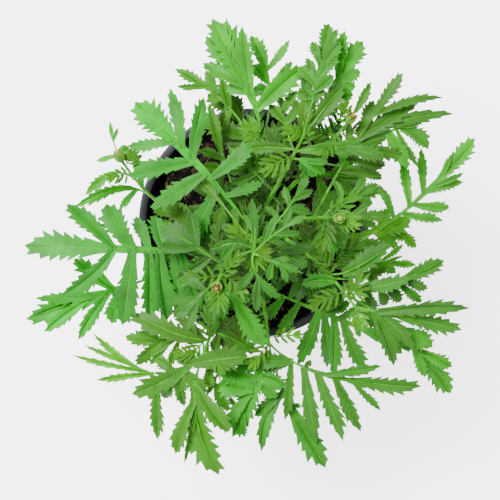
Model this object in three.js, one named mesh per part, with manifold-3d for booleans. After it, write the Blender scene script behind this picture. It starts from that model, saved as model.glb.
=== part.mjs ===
// A French marigold in bud, growing in a round nursery pot. The pot holds a fill of potting soil; one
// main stem stands in a hole in the soil and carries side shoots, and every shoot carries feathery,
// toothed leaves and some of them a small flower bud.
// Millimetres, +Z up, origin at the centre of the pot's foot.
import * as THREE from "three";
import { mergeVertices } from "three/addons/utils/BufferGeometryUtils.js";
import Module from "manifold-3d";

// ---- driving dimensions ---------------------------------------------------------------------------

const CLEARANCE = 0.3; // gap between two pieces that touch

const POT = {
  height: 105,
  rimRadius: 60, // outside of the thick rim
  footRadius: 43,
  wall: 1.8,
  floor: 2.2,
  rimDepth: 11, // how far the thick rim reaches down the wall
  rimStep: 2.2, // how far the rim stands out from the wall
  sides: 36,
};
const DRAIN = { count: 6, radius: 4.2, circle: 29, sides: 10 };

const SOIL = { level: 92, roughness: 1.3, rings: 4 };

const STEM = { sides: 6, steps: 7, footRadius: 2.7, tipRadius: 1.5, depth: 20 };
const SHOOT = { sides: 6, steps: 6, footRadius: 1.5, tipRadius: 1.0, socket: 0.35 };

const LEAF = {
  petioleWidth: 1.7,
  petioleThickness: 1.4,
  bladeThickness: 0.7,
  nodeLength: 1.5, // the stretch of rib that carries one pair of leaflets
  firstAngle: 80, // between the rib and the lowest pair of leaflets, in degrees
  lastAngle: 42, // the same at the highest pair
  loneAngle: 50, // the same where there is only one pair
  pairGap: 0.4, // distance between pairs, as a share of a leaflet's length
  lowestPair: 0.85, // size of the lowest of three or more pairs, next to the others
  endBreadth: 1.15, // breadth of the leaflet at the tip, next to the others
  droop: 0.16, // how far a leaflet's tip sinks, as a share of its length
  sweep: 0.1, // how far a leaflet's tip bends towards the leaf's tip, likewise
  angleLuck: 7, // how much a leaflet's angle varies either way, in degrees
  reachLuck: 0.12, // how much its length varies either way, as a share
  bareShare: 0.22, // how much of a leaf without pairs is bare stalk
};
// A leaflet's half width along its length: [share of the length, share of the half breadth]. A rise
// and a sudden fall is one tooth on each edge.
const BROAD = [[0.27, 0.6], [0.51, 1.0], [0.55, 0.7], [0.78, 0.62]];
const SLIM = [[0.34, 0.8], [0.6, 1.0], [0.65, 0.6]];

const BUD = { length: 6.2, radius: 2.5, mouth: 1.9, cup: 2.2, ribs: 5, sides: 10 };
const TUFT = { radius: 1.55, rise: 1.3, petals: 5, sides: 10 };

// ---- the plant, set out by hand -------------------------------------------------------------------

const MAIN = {
  name: "main_stem",
  foot: [0, 0, SOIL.level - STEM.depth],
  bend: [0, 0, 140],
  tip: [0, -16, 197],
};

// Each side shoot leaves the main stem at a height and runs through a bend to its tip.
const SHOOTS = [
  { name: "left_shoot", from: 104, bend: [-42, -8, 118], tip: [-64, 29, 164] },
  { name: "low_left_shoot", from: 97, bend: [-20, -12, 112], tip: [-38, -24, 127] },
  { name: "front_left_shoot", from: 106, bend: [-12, -34, 148], tip: [-26, -68, 160] },
  { name: "front_shoot", from: 101, bend: [4, -34, 128], tip: [8, -62, 152] },
  { name: "front_right_shoot", from: 112, bend: [26, -8, 150], tip: [50, -43, 172] },
  { name: "right_shoot", from: 118, bend: [28, 3, 140], tip: [39, 1, 190] },
  { name: "low_right_shoot", from: 98, bend: [24, -8, 114], tip: [44, -14, 136] },
  { name: "back_right_shoot", from: 110, bend: [28, 26, 135], tip: [45, 47, 182] },
  { name: "back_shoot", from: 124, bend: [10, 14, 162], tip: [24, 41, 188] },
  { name: "back_left_shoot", from: 105, bend: [2, 30, 132], tip: [3, 44, 170] },
  { name: "centre_left_shoot", from: 126, bend: [-14, -16, 150], tip: [-17, -30, 196] },
];

// One line for each leaf, under the stem that it grows on: how far along the stem, its tip, how far its
// rib arches above the straight line, the number of leaflet pairs, and the leaflets' length and breadth.
// bow swings the rib sideways, to the left where it is positive, and a spread below 1 folds the leaflets
// towards the leaf's tip.
const LEAVES = {
  main_stem: [
    { at: 0.93, tip: [-56, 57, 185], arch: 12, pairs: 4, reach: 28, breadth: 7.5 },
    { at: 0.99, tip: [22, 2, 206], arch: 4, pairs: 2, reach: 13, breadth: 4 },
    { at: 0.97, tip: [20, -34, 203], arch: 4, pairs: 2, reach: 14, breadth: 5 },
    { at: 0.86, tip: [-18, 30, 174], arch: 8, pairs: 2, reach: 17, breadth: 5 },
    { at: 0.84, tip: [33, 26, 178], arch: 8, pairs: 2, reach: 14, breadth: 5 },
    { at: 0.96, tip: [-16, 8, 203], arch: 3, pairs: 2, reach: 13, breadth: 4 },
    { at: 0.6, tip: [-30, 10, 156], arch: 6, pairs: 2, reach: 18, breadth: 6 },
    { at: 0.72, tip: [26, -22, 170], arch: 6, pairs: 2, reach: 15, breadth: 6 },
  ],
  centre_left_shoot: [
    { at: 0.5, tip: [-112, -12, 165], arch: 14, pairs: 4, reach: 30, breadth: 7 },
    { at: 0.7, tip: [-54, -6, 174], arch: 8, pairs: 2, reach: 24, breadth: 8 },
    { at: 0.8, tip: [2, -76, 174], arch: 10, pairs: 1, reach: 22, breadth: 7.5 },
    { at: 0.93, tip: [-38, -46, 193], arch: 5, pairs: 2, reach: 14, breadth: 5 },
  ],
  left_shoot: [
    { at: 0.35, tip: [-50, -8, 127], arch: 4, pairs: 2, reach: 15, breadth: 6 },
    { at: 0.22, tip: [-26, 28, 114], arch: 4, pairs: 2, reach: 15, breadth: 6 },
    { at: 0.66, tip: [-86, 7, 150], arch: 4, pairs: 0, reach: 20, breadth: 3.5 },
    { at: 0.7, tip: [-58, 37, 157], arch: 2, pairs: 0, reach: 18, breadth: 3.5 },
    { at: 0.86, tip: [-82, 13, 164], arch: 4, pairs: 0, reach: 18, breadth: 3.5 },
    { at: 0.8, tip: [-72, 46, 160], arch: 2, pairs: 1, reach: 10, breadth: 3 },
    { at: 0.45, tip: [-50, 21, 140], arch: 3, pairs: 0, reach: 18, breadth: 4 },
  ],
  low_left_shoot: [
    { at: 0.95, tip: [-117, -49, 122], arch: 5, pairs: 3, reach: 26, breadth: 7 },
    { at: 0.4, tip: [-22, -42, 114], arch: 4, pairs: 2, reach: 16, breadth: 7 },
  ],
  front_left_shoot: [
    { at: 0.98, tip: [-15, -126, 150], arch: 8, pairs: 2, reach: 30, breadth: 10, spread: 0.8 },
    { at: 0.95, tip: [-62, -88, 148], arch: 6, pairs: 1, reach: 26, breadth: 8 },
    { at: 0.78, tip: [-96, -71, 128], arch: 0, pairs: 2, reach: 24, breadth: 4 },
    { at: 0.7, tip: [-66, -57, 148], arch: 4, pairs: 3, reach: 12, breadth: 3 },
    { at: 0.86, tip: [-61, -44, 160], arch: 6, pairs: 1, reach: 16, breadth: 8 },
  ],
  front_shoot: [
    { at: 0.97, tip: [84, -82, 140], arch: 8, pairs: 4, reach: 28, breadth: 6.5 },
    { at: 0.88, tip: [36, -124, 132], arch: 6, pairs: 2, reach: 26, breadth: 7.5 },
    { at: 0.93, tip: [-9, -107, 140], arch: 8, pairs: 2, reach: 22, breadth: 8 },
    { at: 0.5, tip: [65, -50, 140], arch: 12, pairs: 4, reach: 27, breadth: 6.5 },
    { at: 0.7, tip: [-18, -62, 132], arch: 4, pairs: 2, reach: 16, breadth: 7 },
  ],
  front_right_shoot: [
    { at: 0.98, tip: [103, -53, 160], arch: 8, pairs: 3, reach: 31, breadth: 7.5 },
    { at: 0.85, tip: [94, -19, 154], arch: 6, pairs: 3, reach: 19, breadth: 7 },
    { at: 0.66, tip: [68, -10, 168], arch: 6, pairs: 1, reach: 20, breadth: 8 },
    { at: 0.97, tip: [20, -8, 183], arch: 6, pairs: 4, reach: 15, breadth: 5 },
  ],
  right_shoot: [
    { at: 0.55, tip: [80, 58, 186], arch: 18, bow: -6, pairs: 3, reach: 24, breadth: 7.5 },
    { at: 0.9, tip: [60, -10, 186], arch: 5, pairs: 2, reach: 12, breadth: 5 },
  ],
  low_right_shoot: [
    { at: 0.97, tip: [109, 42, 146], arch: 8, bow: -14, pairs: 5, reach: 19, breadth: 4.5 },
    { at: 0.85, tip: [80, 0, 124], arch: 6, pairs: 2, reach: 20, breadth: 8 },
    { at: 0.45, tip: [44, 16, 116], arch: 4, pairs: 2, reach: 17, breadth: 7 },
    { at: 0.55, tip: [32, -44, 114], arch: 4, pairs: 2, reach: 15, breadth: 6 },
  ],
  back_right_shoot: [
    { at: 0.9, tip: [97, 51, 160], arch: 4, pairs: 3, reach: 24, breadth: 4.5 },
    { at: 0.78, tip: [58, 68, 160], arch: 4, pairs: 1, reach: 12, breadth: 5 },
    { at: 0.5, tip: [68, 26, 140], arch: 8, pairs: 2, reach: 17, breadth: 6 },
    { at: 0.55, tip: [28, 66, 148], arch: 4, pairs: 2, reach: 17, breadth: 6 },
  ],
  back_shoot: [
    { at: 0.98, tip: [36, 93, 185], arch: 8, pairs: 3, reach: 22, breadth: 7 },
    { at: 0.88, tip: [54, 87, 170], arch: 8, pairs: 3, reach: 18, breadth: 6.5 },
    { at: 0.45, tip: [-12, 36, 164], arch: 4, pairs: 2, reach: 13, breadth: 5 },
  ],
  back_left_shoot: [
    { at: 0.98, tip: [-20, 97, 178], arch: 8, pairs: 2, reach: 30, breadth: 10, spread: 0.6 },
    { at: 0.8, tip: [18, 90, 156], arch: 6, pairs: 2, reach: 20, breadth: 6 },
    { at: 0.7, tip: [-38, 76, 146], arch: 8, pairs: 3, reach: 18, breadth: 7 },
    { at: 0.45, tip: [-28, 56, 128], arch: 4, pairs: 2, reach: 19, breadth: 8 },
  ],
};

const BUDS = [
  { name: "centre_left_bud", on: "centre_left_shoot" },
  { name: "right_bud", on: "right_shoot" },
  { name: "back_right_bud", on: "back_right_shoot" },
  { name: "left_bud", on: "left_shoot" },
];

// ---- colours --------------------------------------------------------------------------------------

const PLASTIC = new THREE.MeshStandardMaterial({ color: 0x2b2a30, roughness: 0.55, metalness: 0 });
const PEAT = new THREE.MeshStandardMaterial({ color: 0x241a15, roughness: 1, metalness: 0 });
const FOLIAGE = new THREE.MeshStandardMaterial({ color: 0x4f9e3a, roughness: 0.6, metalness: 0 });
const BUD_GREEN = new THREE.MeshStandardMaterial({ color: 0x6f9a32, roughness: 0.6, metalness: 0 });
const PETAL = new THREE.MeshStandardMaterial({ color: 0x7c3216, roughness: 0.7, metalness: 0 });

// ---- helpers --------------------------------------------------------------------------------------

const wasm = await Module();
wasm.setup();

const UP = new THREE.Vector3(0, 0, 1);
const point = ([x, y, z]) => new THREE.Vector3(x, y, z);

// A repeatable draw between -1 and 1 for the pair of whole numbers a, b.
function draw(a, b) {
  const s = Math.sin(a * 127.1 + b * 311.7) * 43758.5453;
  return 2 * (s - Math.floor(s)) - 1;
}

function solidOf(geometry) {
  const bare = geometry.clone();
  bare.deleteAttribute("normal");
  bare.deleteAttribute("uv");
  const merged = mergeVertices(bare, 1e-4);
  return new wasm.Manifold(
    new wasm.Mesh({
      numProp: 3,
      vertProperties: merged.attributes.position.array,
      triVerts: new Uint32Array(merged.index.array),
    }),
  );
}

function geometryOf(solid) {
  const mesh = solid.getMesh();
  const geometry = new THREE.BufferGeometry();
  geometry.setAttribute("position", new THREE.BufferAttribute(mesh.vertProperties, 3));
  geometry.setIndex(new THREE.BufferAttribute(mesh.triVerts, 1));
  geometry.computeVertexNormals();
  return geometry;
}

function geometryFrom(points, triangles) {
  const geometry = new THREE.BufferGeometry();
  const numbers = points.flatMap((p) => p.toArray());
  geometry.setAttribute("position", new THREE.Float32BufferAttribute(numbers, 3));
  geometry.setIndex(triangles.flat());
  return geometry;
}

function curveOf({ foot, bend, tip }) {
  return new THREE.QuadraticBezierCurve3(point(foot), point(bend), point(tip));
}

// A tapered round stem along a curve, closed at both ends.
function stemGeometry(curve, { sides, steps, footRadius, tipRadius }) {
  const points = [];
  const triangles = [];
  const across = new THREE.Vector3(-0.95, 0.31, 0);
  for (let step = 0; step <= steps; step++) {
    const t = step / steps;
    const along = curve.getTangent(t);
    across.addScaledVector(along, -across.dot(along)).normalize();
    const other = new THREE.Vector3().crossVectors(along, across);
    const radius = THREE.MathUtils.lerp(footRadius, tipRadius, t);
    for (let side = 0; side < sides; side++) {
      const turn = (2 * Math.PI * side) / sides;
      points.push(
        curve
          .getPoint(t)
          .addScaledVector(across, radius * Math.cos(turn))
          .addScaledVector(other, radius * Math.sin(turn)),
      );
    }
  }
  for (let step = 0; step < steps; step++) {
    for (let side = 0; side < sides; side++) {
      const a = step * sides + side;
      const b = step * sides + ((side + 1) % sides);
      triangles.push([a, b, b + sides], [a, b + sides, a + sides]);
    }
  }
  const last = steps * sides;
  for (let side = 1; side < sides - 1; side++) {
    triangles.push([0, side + 1, side], [last, last + side, last + side + 1]);
  }
  return geometryFrom(points, triangles);
}

// Gives a surface its thickness: each point has a normal and a half thickness, and the open edges are
// closed by a thin wall.
function thickened(points, normals, halves, triangles) {
  const count = points.length;
  const shell = [
    ...points.map((p, i) => p.clone().addScaledVector(normals[i], halves[i])),
    ...points.map((p, i) => p.clone().addScaledVector(normals[i], -halves[i])),
  ];
  const faces = triangles.flatMap(([a, b, c]) => [[a, b, c], [c + count, b + count, a + count]]);
  const edges = new Set(triangles.flatMap(([a, b, c]) => [`${a},${b}`, `${b},${c}`, `${c},${a}`]));
  for (const edge of edges) {
    const [a, b] = edge.split(",").map(Number);
    if (!edges.has(`${b},${a}`)) faces.push([b, a, a + count], [b, a + count, b + count]);
  }
  return geometryFrom(shell, faces);
}

// ---- pot and soil ---------------------------------------------------------------------------------

const wallRadius = (z) =>
  THREE.MathUtils.lerp(POT.footRadius, POT.rimRadius - POT.rimStep, z / (POT.height - POT.rimDepth));
const insideRadius = (z) => wallRadius(z) - POT.wall;

function potGeometry() {
  const rimFoot = POT.height - POT.rimDepth;
  const wallTop = wallRadius(rimFoot);
  const lip = 1.2; // rounding of the rim's edge
  const profile = [
    [0, 0],
    [POT.footRadius - lip, 0],
    [POT.footRadius, lip],
    [wallTop, rimFoot - POT.rimStep],
    [POT.rimRadius - 0.6, rimFoot],
    [POT.rimRadius, POT.height - lip],
    [POT.rimRadius - lip, POT.height],
    [POT.rimRadius - 2 * lip, POT.height],
    [wallTop - POT.wall, POT.height - 2 * lip],
    [wallTop - POT.wall, rimFoot],
    [insideRadius(POT.floor + 1.5), POT.floor + 1.5],
    [insideRadius(POT.floor) - 1.5, POT.floor],
    [0, POT.floor],
  ].map(([r, z]) => new THREE.Vector2(r, z));
  const turned = new THREE.LatheGeometry(profile, POT.sides).rotateX(Math.PI / 2);
  let body = solidOf(turned);
  for (let i = 0; i < DRAIN.count; i++) {
    const turn = (2 * Math.PI * i) / DRAIN.count;
    const drill = new THREE.CylinderGeometry(DRAIN.radius, DRAIN.radius, 4 * POT.floor, DRAIN.sides)
      .rotateX(Math.PI / 2)
      .translate(DRAIN.circle * Math.cos(turn), DRAIN.circle * Math.sin(turn), 0);
    body = body.subtract(solidOf(drill));
  }
  return geometryOf(body);
}

function soilGeometry() {
  const foot = POT.floor + CLEARANCE;
  const hole = STEM.footRadius + 1.5 * CLEARANCE; // a little wider, for the stem's lean
  const crumbs = Array.from({ length: SOIL.rings }, (_, i) => {
    const share = (i + 1) / SOIL.rings;
    return [THREE.MathUtils.lerp(hole, insideRadius(SOIL.level) - CLEARANCE, share), SOIL.level];
  });
  const profile = [
    [0, foot],
    [insideRadius(foot + 2) - 2.5, foot],
    [insideRadius(foot + 2) - CLEARANCE, foot + 2],
    ...crumbs.toReversed(),
    [hole, SOIL.level],
    [hole, SOIL.level - STEM.depth - CLEARANCE],
    [0, SOIL.level - STEM.depth - CLEARANCE],
  ].map(([r, z]) => new THREE.Vector2(r, z));
  const turned = new THREE.LatheGeometry(profile, POT.sides).rotateX(Math.PI / 2);
  const place = turned.attributes.position;
  const rim = insideRadius(SOIL.level) - 2;
  for (let i = 0; i < place.count; i++) {
    const [x, y, z] = [place.getX(i), place.getY(i), place.getZ(i)];
    const radius = Math.hypot(x, y);
    if (z < SOIL.level - 1 || radius < hole + 1 || radius > rim) continue;
    place.setZ(i, z + SOIL.roughness * draw(Math.round(x), Math.round(y)));
  }
  return turned;
}

// ---- leaves ---------------------------------------------------------------------------------------

// The rib of a leaf: a curve from the stem to the leaf's tip, and the blade's own axes along it.
function ribOf(leaf, start) {
  const end = point(leaf.tip);
  const chord = end.clone().sub(start);
  const left = new THREE.Vector3(-chord.y, chord.x, 0).normalize();
  const middle = start.clone().lerp(end, 0.5);
  middle.addScaledVector(UP, leaf.arch).addScaledVector(left, leaf.bow ?? 0);
  const curve = new THREE.QuadraticBezierCurve3(start, middle, end);
  const length = curve.getLength();
  const frameAt = (share) => {
    const along = curve.getTangent(share);
    const side = new THREE.Vector3().crossVectors(UP, along).normalize();
    const normal = new THREE.Vector3().crossVectors(along, side);
    return { centre: curve.getPoint(share), along, side, normal };
  };
  return { length, frameAt };
}

// Where the pairs of leaflets sit, as shares of the rib.
function pairShares(leaf, length) {
  const last = THREE.MathUtils.clamp(1 - (1.05 * leaf.reach) / length, 0.4, 0.8);
  const gap = Math.min((LEAF.pairGap * leaf.reach) / length, (last - 0.16) / Math.max(leaf.pairs - 1, 1));
  return Array.from({ length: leaf.pairs }, (_, i) => last - gap * (leaf.pairs - 1 - i));
}

// The angle between the rib and a pair of leaflets, in degrees.
function pairAngle(pair, pairs) {
  if (pairs === 1) return LEAF.loneAngle;
  return THREE.MathUtils.lerp(LEAF.firstAngle, LEAF.lastAngle, pair / (pairs - 1));
}

function leafGeometry(leaf, start, seed) {
  const { length, frameAt } = ribOf(leaf, start);
  const points = [];
  const normals = [];
  const halves = [];
  const triangles = [];
  const add = (place, normal, thickness) => {
    points.push(place);
    normals.push(normal);
    halves.push(thickness / 2);
    return points.length - 1;
  };
  const quad = (rightA, leftA, rightB, leftB) => {
    triangles.push([rightA, rightB, leftB], [rightA, leftB, leftA]);
  };

  const ribStation = (share, halfWidth, thickness) => {
    const { centre, side, normal } = frameAt(share);
    const right = add(centre.clone().addScaledVector(side, -halfWidth), normal, thickness);
    const left = add(centre.clone().addScaledVector(side, halfWidth), normal, thickness);
    return { right, left };
  };
  const joinStations = (a, b) => quad(a.right, a.left, b.right, b.left);

  // A leaflet grows from the stretch of rib edge between two points, back (towards the stem) and front.
  const leaflet = (back, front, share, hand, angle, reach, breadth, outline) => {
    const { along, side, normal } = frameAt(share);
    const [cos, sin] = [Math.cos(angle), hand * Math.sin(angle)];
    const out = along.clone().multiplyScalar(cos).addScaledVector(side, sin);
    const ahead = along.clone().multiplyScalar(hand * sin).addScaledVector(side, -hand * cos);
    const root = points[back].clone().lerp(points[front], 0.5);
    const place = (q) =>
      root
        .clone()
        .addScaledVector(out, q * reach)
        .addScaledVector(ahead, LEAF.sweep * q * q * reach)
        .addScaledVector(normal, -LEAF.droop * q * q * reach);
    let last = { back, front };
    for (const [q, width] of outline) {
      const course = place(q + 0.01).sub(place(q - 0.01)).normalize();
      const across = new THREE.Vector3().crossVectors(normal, course).normalize().multiplyScalar(-hand);
      const face = new THREE.Vector3().crossVectors(course, across).normalize().multiplyScalar(-hand);
      const half = (width * breadth) / 2;
      const next = {
        back: add(place(q).addScaledVector(across, -half), face, LEAF.bladeThickness),
        front: add(place(q).addScaledVector(across, half), face, LEAF.bladeThickness),
      };
      if (hand > 0) quad(last.front, last.back, next.front, next.back);
      else quad(last.back, last.front, next.back, next.front);
      last = next;
    }
    const tip = add(place(1), normals[last.back].clone(), LEAF.bladeThickness);
    triangles.push(hand > 0 ? [last.front, tip, last.back] : [last.back, tip, last.front]);
  };

  const outline = leaf.breadth > 5.5 ? BROAD : SLIM;
  const halfRib = LEAF.petioleWidth / 2;
  const shares = pairShares(leaf, length);
  const halfNode = LEAF.nodeLength / 2 / length;
  let last = ribStation(0, halfRib, LEAF.petioleThickness);
  const first = shares[0] ?? LEAF.bareShare;
  const middle = ribStation(first / 2, halfRib, LEAF.petioleThickness);
  joinStations(last, middle);
  last = middle;
  shares.forEach((share, i) => {
    const progress = (i + 1) / (shares.length + 1);
    const thickness = THREE.MathUtils.lerp(LEAF.petioleThickness, LEAF.bladeThickness, progress);
    const back = ribStation(share - halfNode, halfRib, thickness);
    const front = ribStation(share + halfNode, halfRib, thickness);
    joinStations(last, back);
    joinStations(back, front);
    last = front;
    const size = i === 0 && shares.length > 2 ? LEAF.lowestPair : 1;
    const splay = (leaf.spread ?? 1) * pairAngle(i, shares.length);
    for (const hand of [1, -1]) {
      const luck = 10 * i + hand;
      const angle = splay + LEAF.angleLuck * draw(seed, luck);
      const reach = leaf.reach * size * (1 + LEAF.reachLuck * draw(seed, luck + 5));
      const [b, f] = hand > 0 ? [back.left, front.left] : [back.right, front.right];
      leaflet(b, f, share, hand, THREE.MathUtils.degToRad(angle), reach, leaf.breadth * size, outline);
    }
  });

  // The last leaflet carries the rib on to the leaf's tip.
  const root = shares.length ? shares.at(-1) + halfNode : first;
  for (const [q, width] of outline) {
    const half = (width * leaf.breadth * LEAF.endBreadth) / 2;
    const next = ribStation(THREE.MathUtils.lerp(root, 1, q), half, LEAF.bladeThickness);
    joinStations(last, next);
    last = next;
  }
  const { centre, normal } = frameAt(1);
  const tip = add(centre, normal, LEAF.bladeThickness);
  triangles.push([last.right, tip, last.left]);
  return thickened(points, normals, halves, triangles);
}

// ---- buds -----------------------------------------------------------------------------------------

// The green cup of a bud stands on the end of its shoot; the rim of the cup has small points.
function cupGeometry() {
  const { length, radius, mouth, cup, ribs, sides } = BUD;
  const profile = [
    [0, 0],
    [0.9, 0],
    [radius * 0.8, length * 0.2],
    [radius, length * 0.55],
    [mouth + 0.5, length],
    [mouth, length],
    [mouth, length - cup],
    [0, length - cup],
  ].map(([r, z]) => new THREE.Vector2(r, z));
  const turned = new THREE.LatheGeometry(profile, sides).rotateX(Math.PI / 2);
  const place = turned.attributes.position;
  for (let i = 0; i < place.count; i++) {
    const [x, y, z] = [place.getX(i), place.getY(i), place.getZ(i)];
    const wave = Math.cos(ribs * Math.atan2(y, x));
    const outside = Math.hypot(x, y) > mouth + 0.2 || z < length - cup - 0.1;
    if (outside) place.setXY(i, x * (1 + 0.07 * wave), y * (1 + 0.07 * wave));
    if (z > length - 0.1) place.setZ(i, z + 0.5 * wave);
  }
  return turned;
}

// The furled petals stand in the cup, with a gap all round.
function tuftGeometry() {
  const foot = BUD.length - BUD.cup + CLEARANCE;
  const top = BUD.length + TUFT.rise;
  const profile = [
    [0, foot],
    [TUFT.radius, foot],
    [TUFT.radius, BUD.length],
    [TUFT.radius * 0.75, THREE.MathUtils.lerp(BUD.length, top, 0.7)],
    [0, top],
  ].map(([r, z]) => new THREE.Vector2(r, z));
  const turned = new THREE.LatheGeometry(profile, TUFT.sides).rotateX(Math.PI / 2);
  const place = turned.attributes.position;
  for (let i = 0; i < place.count; i++) {
    const [x, y] = [place.getX(i), place.getY(i)];
    const fold = 1 - 0.12 * (1 - Math.cos(TUFT.petals * Math.atan2(y, x)));
    place.setXY(i, x * fold, y * fold);
  }
  return turned;
}

// ---- assembly -------------------------------------------------------------------------------------

function named(name, geometry, material) {
  const mesh = new THREE.Mesh(geometry, material);
  mesh.name = name;
  return mesh;
}

// The height of the main stem's axis is given; its share of the curve is found by halving.
function shareAtHeight(curve, height) {
  let [low, high] = [0, 1];
  for (let i = 0; i < 30; i++) {
    const middle = (low + high) / 2;
    if (curve.getPoint(middle).z < height) low = middle;
    else high = middle;
  }
  return low;
}

const mainCurve = curveOf(MAIN);
const curves = new Map([[MAIN.name, mainCurve]]);
for (const shoot of SHOOTS) {
  const foot = mainCurve.getPoint(shareAtHeight(mainCurve, shoot.from)).toArray();
  curves.set(shoot.name, curveOf({ ...shoot, foot }));
}

function stemWithLeaves(name, stem) {
  const curve = curves.get(name);
  const stemNumber = [...curves.keys()].indexOf(name);
  return LEAVES[name].reduce(
    (body, leaf, i) => body.add(solidOf(leafGeometry(leaf, curve.getPoint(leaf.at), 10 * stemNumber + i))),
    stem,
  );
}

const marigold = new THREE.Group();
marigold.add(named("pot", potGeometry(), PLASTIC));
marigold.add(named("potting_soil", soilGeometry(), PEAT));

const bareStem = solidOf(stemGeometry(mainCurve, STEM));
marigold.add(named(MAIN.name, geometryOf(stemWithLeaves(MAIN.name, bareStem)), FOLIAGE));

const socket = solidOf(
  stemGeometry(mainCurve, {
    ...STEM,
    footRadius: STEM.footRadius + SHOOT.socket,
    tipRadius: STEM.tipRadius + SHOOT.socket,
  }),
);
for (const { name } of SHOOTS) {
  const stem = solidOf(stemGeometry(curves.get(name), SHOOT)).subtract(socket);
  marigold.add(named(name, geometryOf(stemWithLeaves(name, stem)), FOLIAGE));
}

for (const { name, on } of BUDS) {
  const curve = curves.get(on);
  const along = curve.getTangent(1);
  const bud = new THREE.Group();
  bud.position.copy(curve.getPoint(1)).addScaledVector(along, CLEARANCE);
  bud.quaternion.setFromUnitVectors(UP, along);
  bud.add(named(`${name}_cup`, cupGeometry(), BUD_GREEN));
  bud.add(named(`${name}_petals`, tuftGeometry(), PETAL));
  marigold.add(bud);
}

export default marigold;
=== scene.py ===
# %% [markdown]
# # A French marigold in a nursery pot
# A young marigold, seen from straight above: feathery, toothed leaves on a dozen stems, four small
# closed buds, dark soil and a dark moulded pot. The solid model is already packed, and this lesson
# dresses it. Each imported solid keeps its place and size, and a finer piece stands for it in the
# picture.

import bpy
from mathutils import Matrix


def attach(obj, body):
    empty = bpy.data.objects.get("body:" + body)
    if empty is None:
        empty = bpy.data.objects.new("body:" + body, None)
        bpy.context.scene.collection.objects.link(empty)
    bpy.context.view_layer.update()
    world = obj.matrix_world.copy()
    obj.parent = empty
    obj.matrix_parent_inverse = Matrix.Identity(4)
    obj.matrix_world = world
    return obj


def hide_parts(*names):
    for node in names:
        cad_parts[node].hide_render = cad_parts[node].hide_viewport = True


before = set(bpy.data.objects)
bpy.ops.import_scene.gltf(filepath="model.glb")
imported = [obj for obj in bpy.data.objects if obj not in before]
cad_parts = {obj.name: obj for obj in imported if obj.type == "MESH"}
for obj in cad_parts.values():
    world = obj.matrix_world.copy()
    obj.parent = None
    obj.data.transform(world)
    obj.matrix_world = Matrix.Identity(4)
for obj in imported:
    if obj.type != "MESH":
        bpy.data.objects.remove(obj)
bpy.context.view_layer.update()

# %% [markdown]
# Everything on the plant is set out in millimetres, because that is how a leaf is measured, and turned
# into metres where Blender needs them. A plant needs chance as well. draw() looks random, but it gives
# the same number each time for the same two numbers, so the plant grows the same way on every run.

# %% Units and numbers
import math

import bpy
import numpy as np
from mathutils import Matrix, Vector, noise

MM = 0.001
DRAW_STEPS, DRAW_SCALE = (127.1, 311.7), 43758.5453


def draw(a, b):
    """A number from -1 to 1 that is always the same for the same a and b."""
    s = math.sin(a * DRAW_STEPS[0] + b * DRAW_STEPS[1]) * DRAW_SCALE
    return 2 * (s - math.floor(s)) - 1


def chance(a, b):
    """The same from 0 to 1."""
    return 0.5 + 0.5 * draw(a, b)


def unit(vectors):
    return vectors / np.linalg.norm(vectors, axis=-1, keepdims=True)


def mix(a, b, share):
    return a + (b - a) * share


# %% [markdown]
# An operator acts on all that is selected, so each step first says what that is. These helpers do what
# comes up again and again: select pieces and nothing else, add a primitive, copy a piece, join pieces,
# apply a modifier, and smooth the faces that meet at less than a given angle.

# %% Helpers for pieces


def select_only(*objects):
    bpy.ops.object.select_all(action="DESELECT")
    for obj in objects:
        obj.select_set(True)
    bpy.context.view_layer.objects.active = objects[0]


def primitive(add, **settings):
    bpy.ops.object.select_all(action="DESELECT")
    add(**settings)
    bpy.ops.object.transform_apply()
    return bpy.context.object


def copy_of(master):
    twin = master.copy()
    twin.data = master.data.copy()
    bpy.context.collection.objects.link(twin)
    return twin


def joined(*pieces):
    select_only(*pieces)
    bpy.ops.object.join()
    return bpy.context.object


def modified(piece, kind, **settings):
    select_only(piece)
    modifier = piece.modifiers.new(kind.lower(), kind)
    for name, value in settings.items():
        setattr(modifier, name, value)
    bpy.ops.object.modifier_apply(modifier=modifier.name)


def smoothed(piece, degrees):
    select_only(piece)
    bpy.ops.object.shade_smooth_by_angle(angle=math.radians(degrees))


def named(piece, name):
    piece.name = name
    piece.data.name = name


def remove(*pieces):
    for piece in pieces:
        bpy.data.objects.remove(piece)


# %% [markdown]
# The camera hangs straight above the pot, a little in front of its middle, and looks straight down.
# From 900 mm above the rim it sees 261 mm of the rim's own level, so the high leaves look a little
# larger than the low ones, as they do to the eye. A long lens at a fair distance gives that; a short
# lens close by would blow the top leaves up.

# %% Camera
PICTURE = 500
RIM_HEIGHT = 105
CAMERA_ABOVE_RIM = 900
CAMERA_SPOT = (-1.8, -14.1)
SEEN_AT_RIM = 261
SENSOR_WIDTH = 36
CLIP_END_METRES = 20

bpy.ops.object.camera_add(
    location=(CAMERA_SPOT[0] * MM, CAMERA_SPOT[1] * MM, (RIM_HEIGHT + CAMERA_ABOVE_RIM) * MM),
    rotation=(0, 0, 0),
)
camera = bpy.context.object
camera.name = "camera"
camera.data.sensor_width = SENSOR_WIDTH
camera.data.lens = SENSOR_WIDTH * CAMERA_ABOVE_RIM / SEEN_AT_RIM
camera.data.clip_end = CLIP_END_METRES
bpy.context.scene.camera = camera
print("lens", round(camera.data.lens, 1), "mm")

# %% [markdown]
# A plain white floor and soft light from all round show the plant's own colours. One large lamp from
# the upper left gives the leaves a lit side and a shaded side, and a weak one opposite keeps the
# shadows open. Small lamps would draw hard shadows of every leaf on the next one. The floor also gives
# off a little light of its own, because a sheet that is only white comes out grey.

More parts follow.
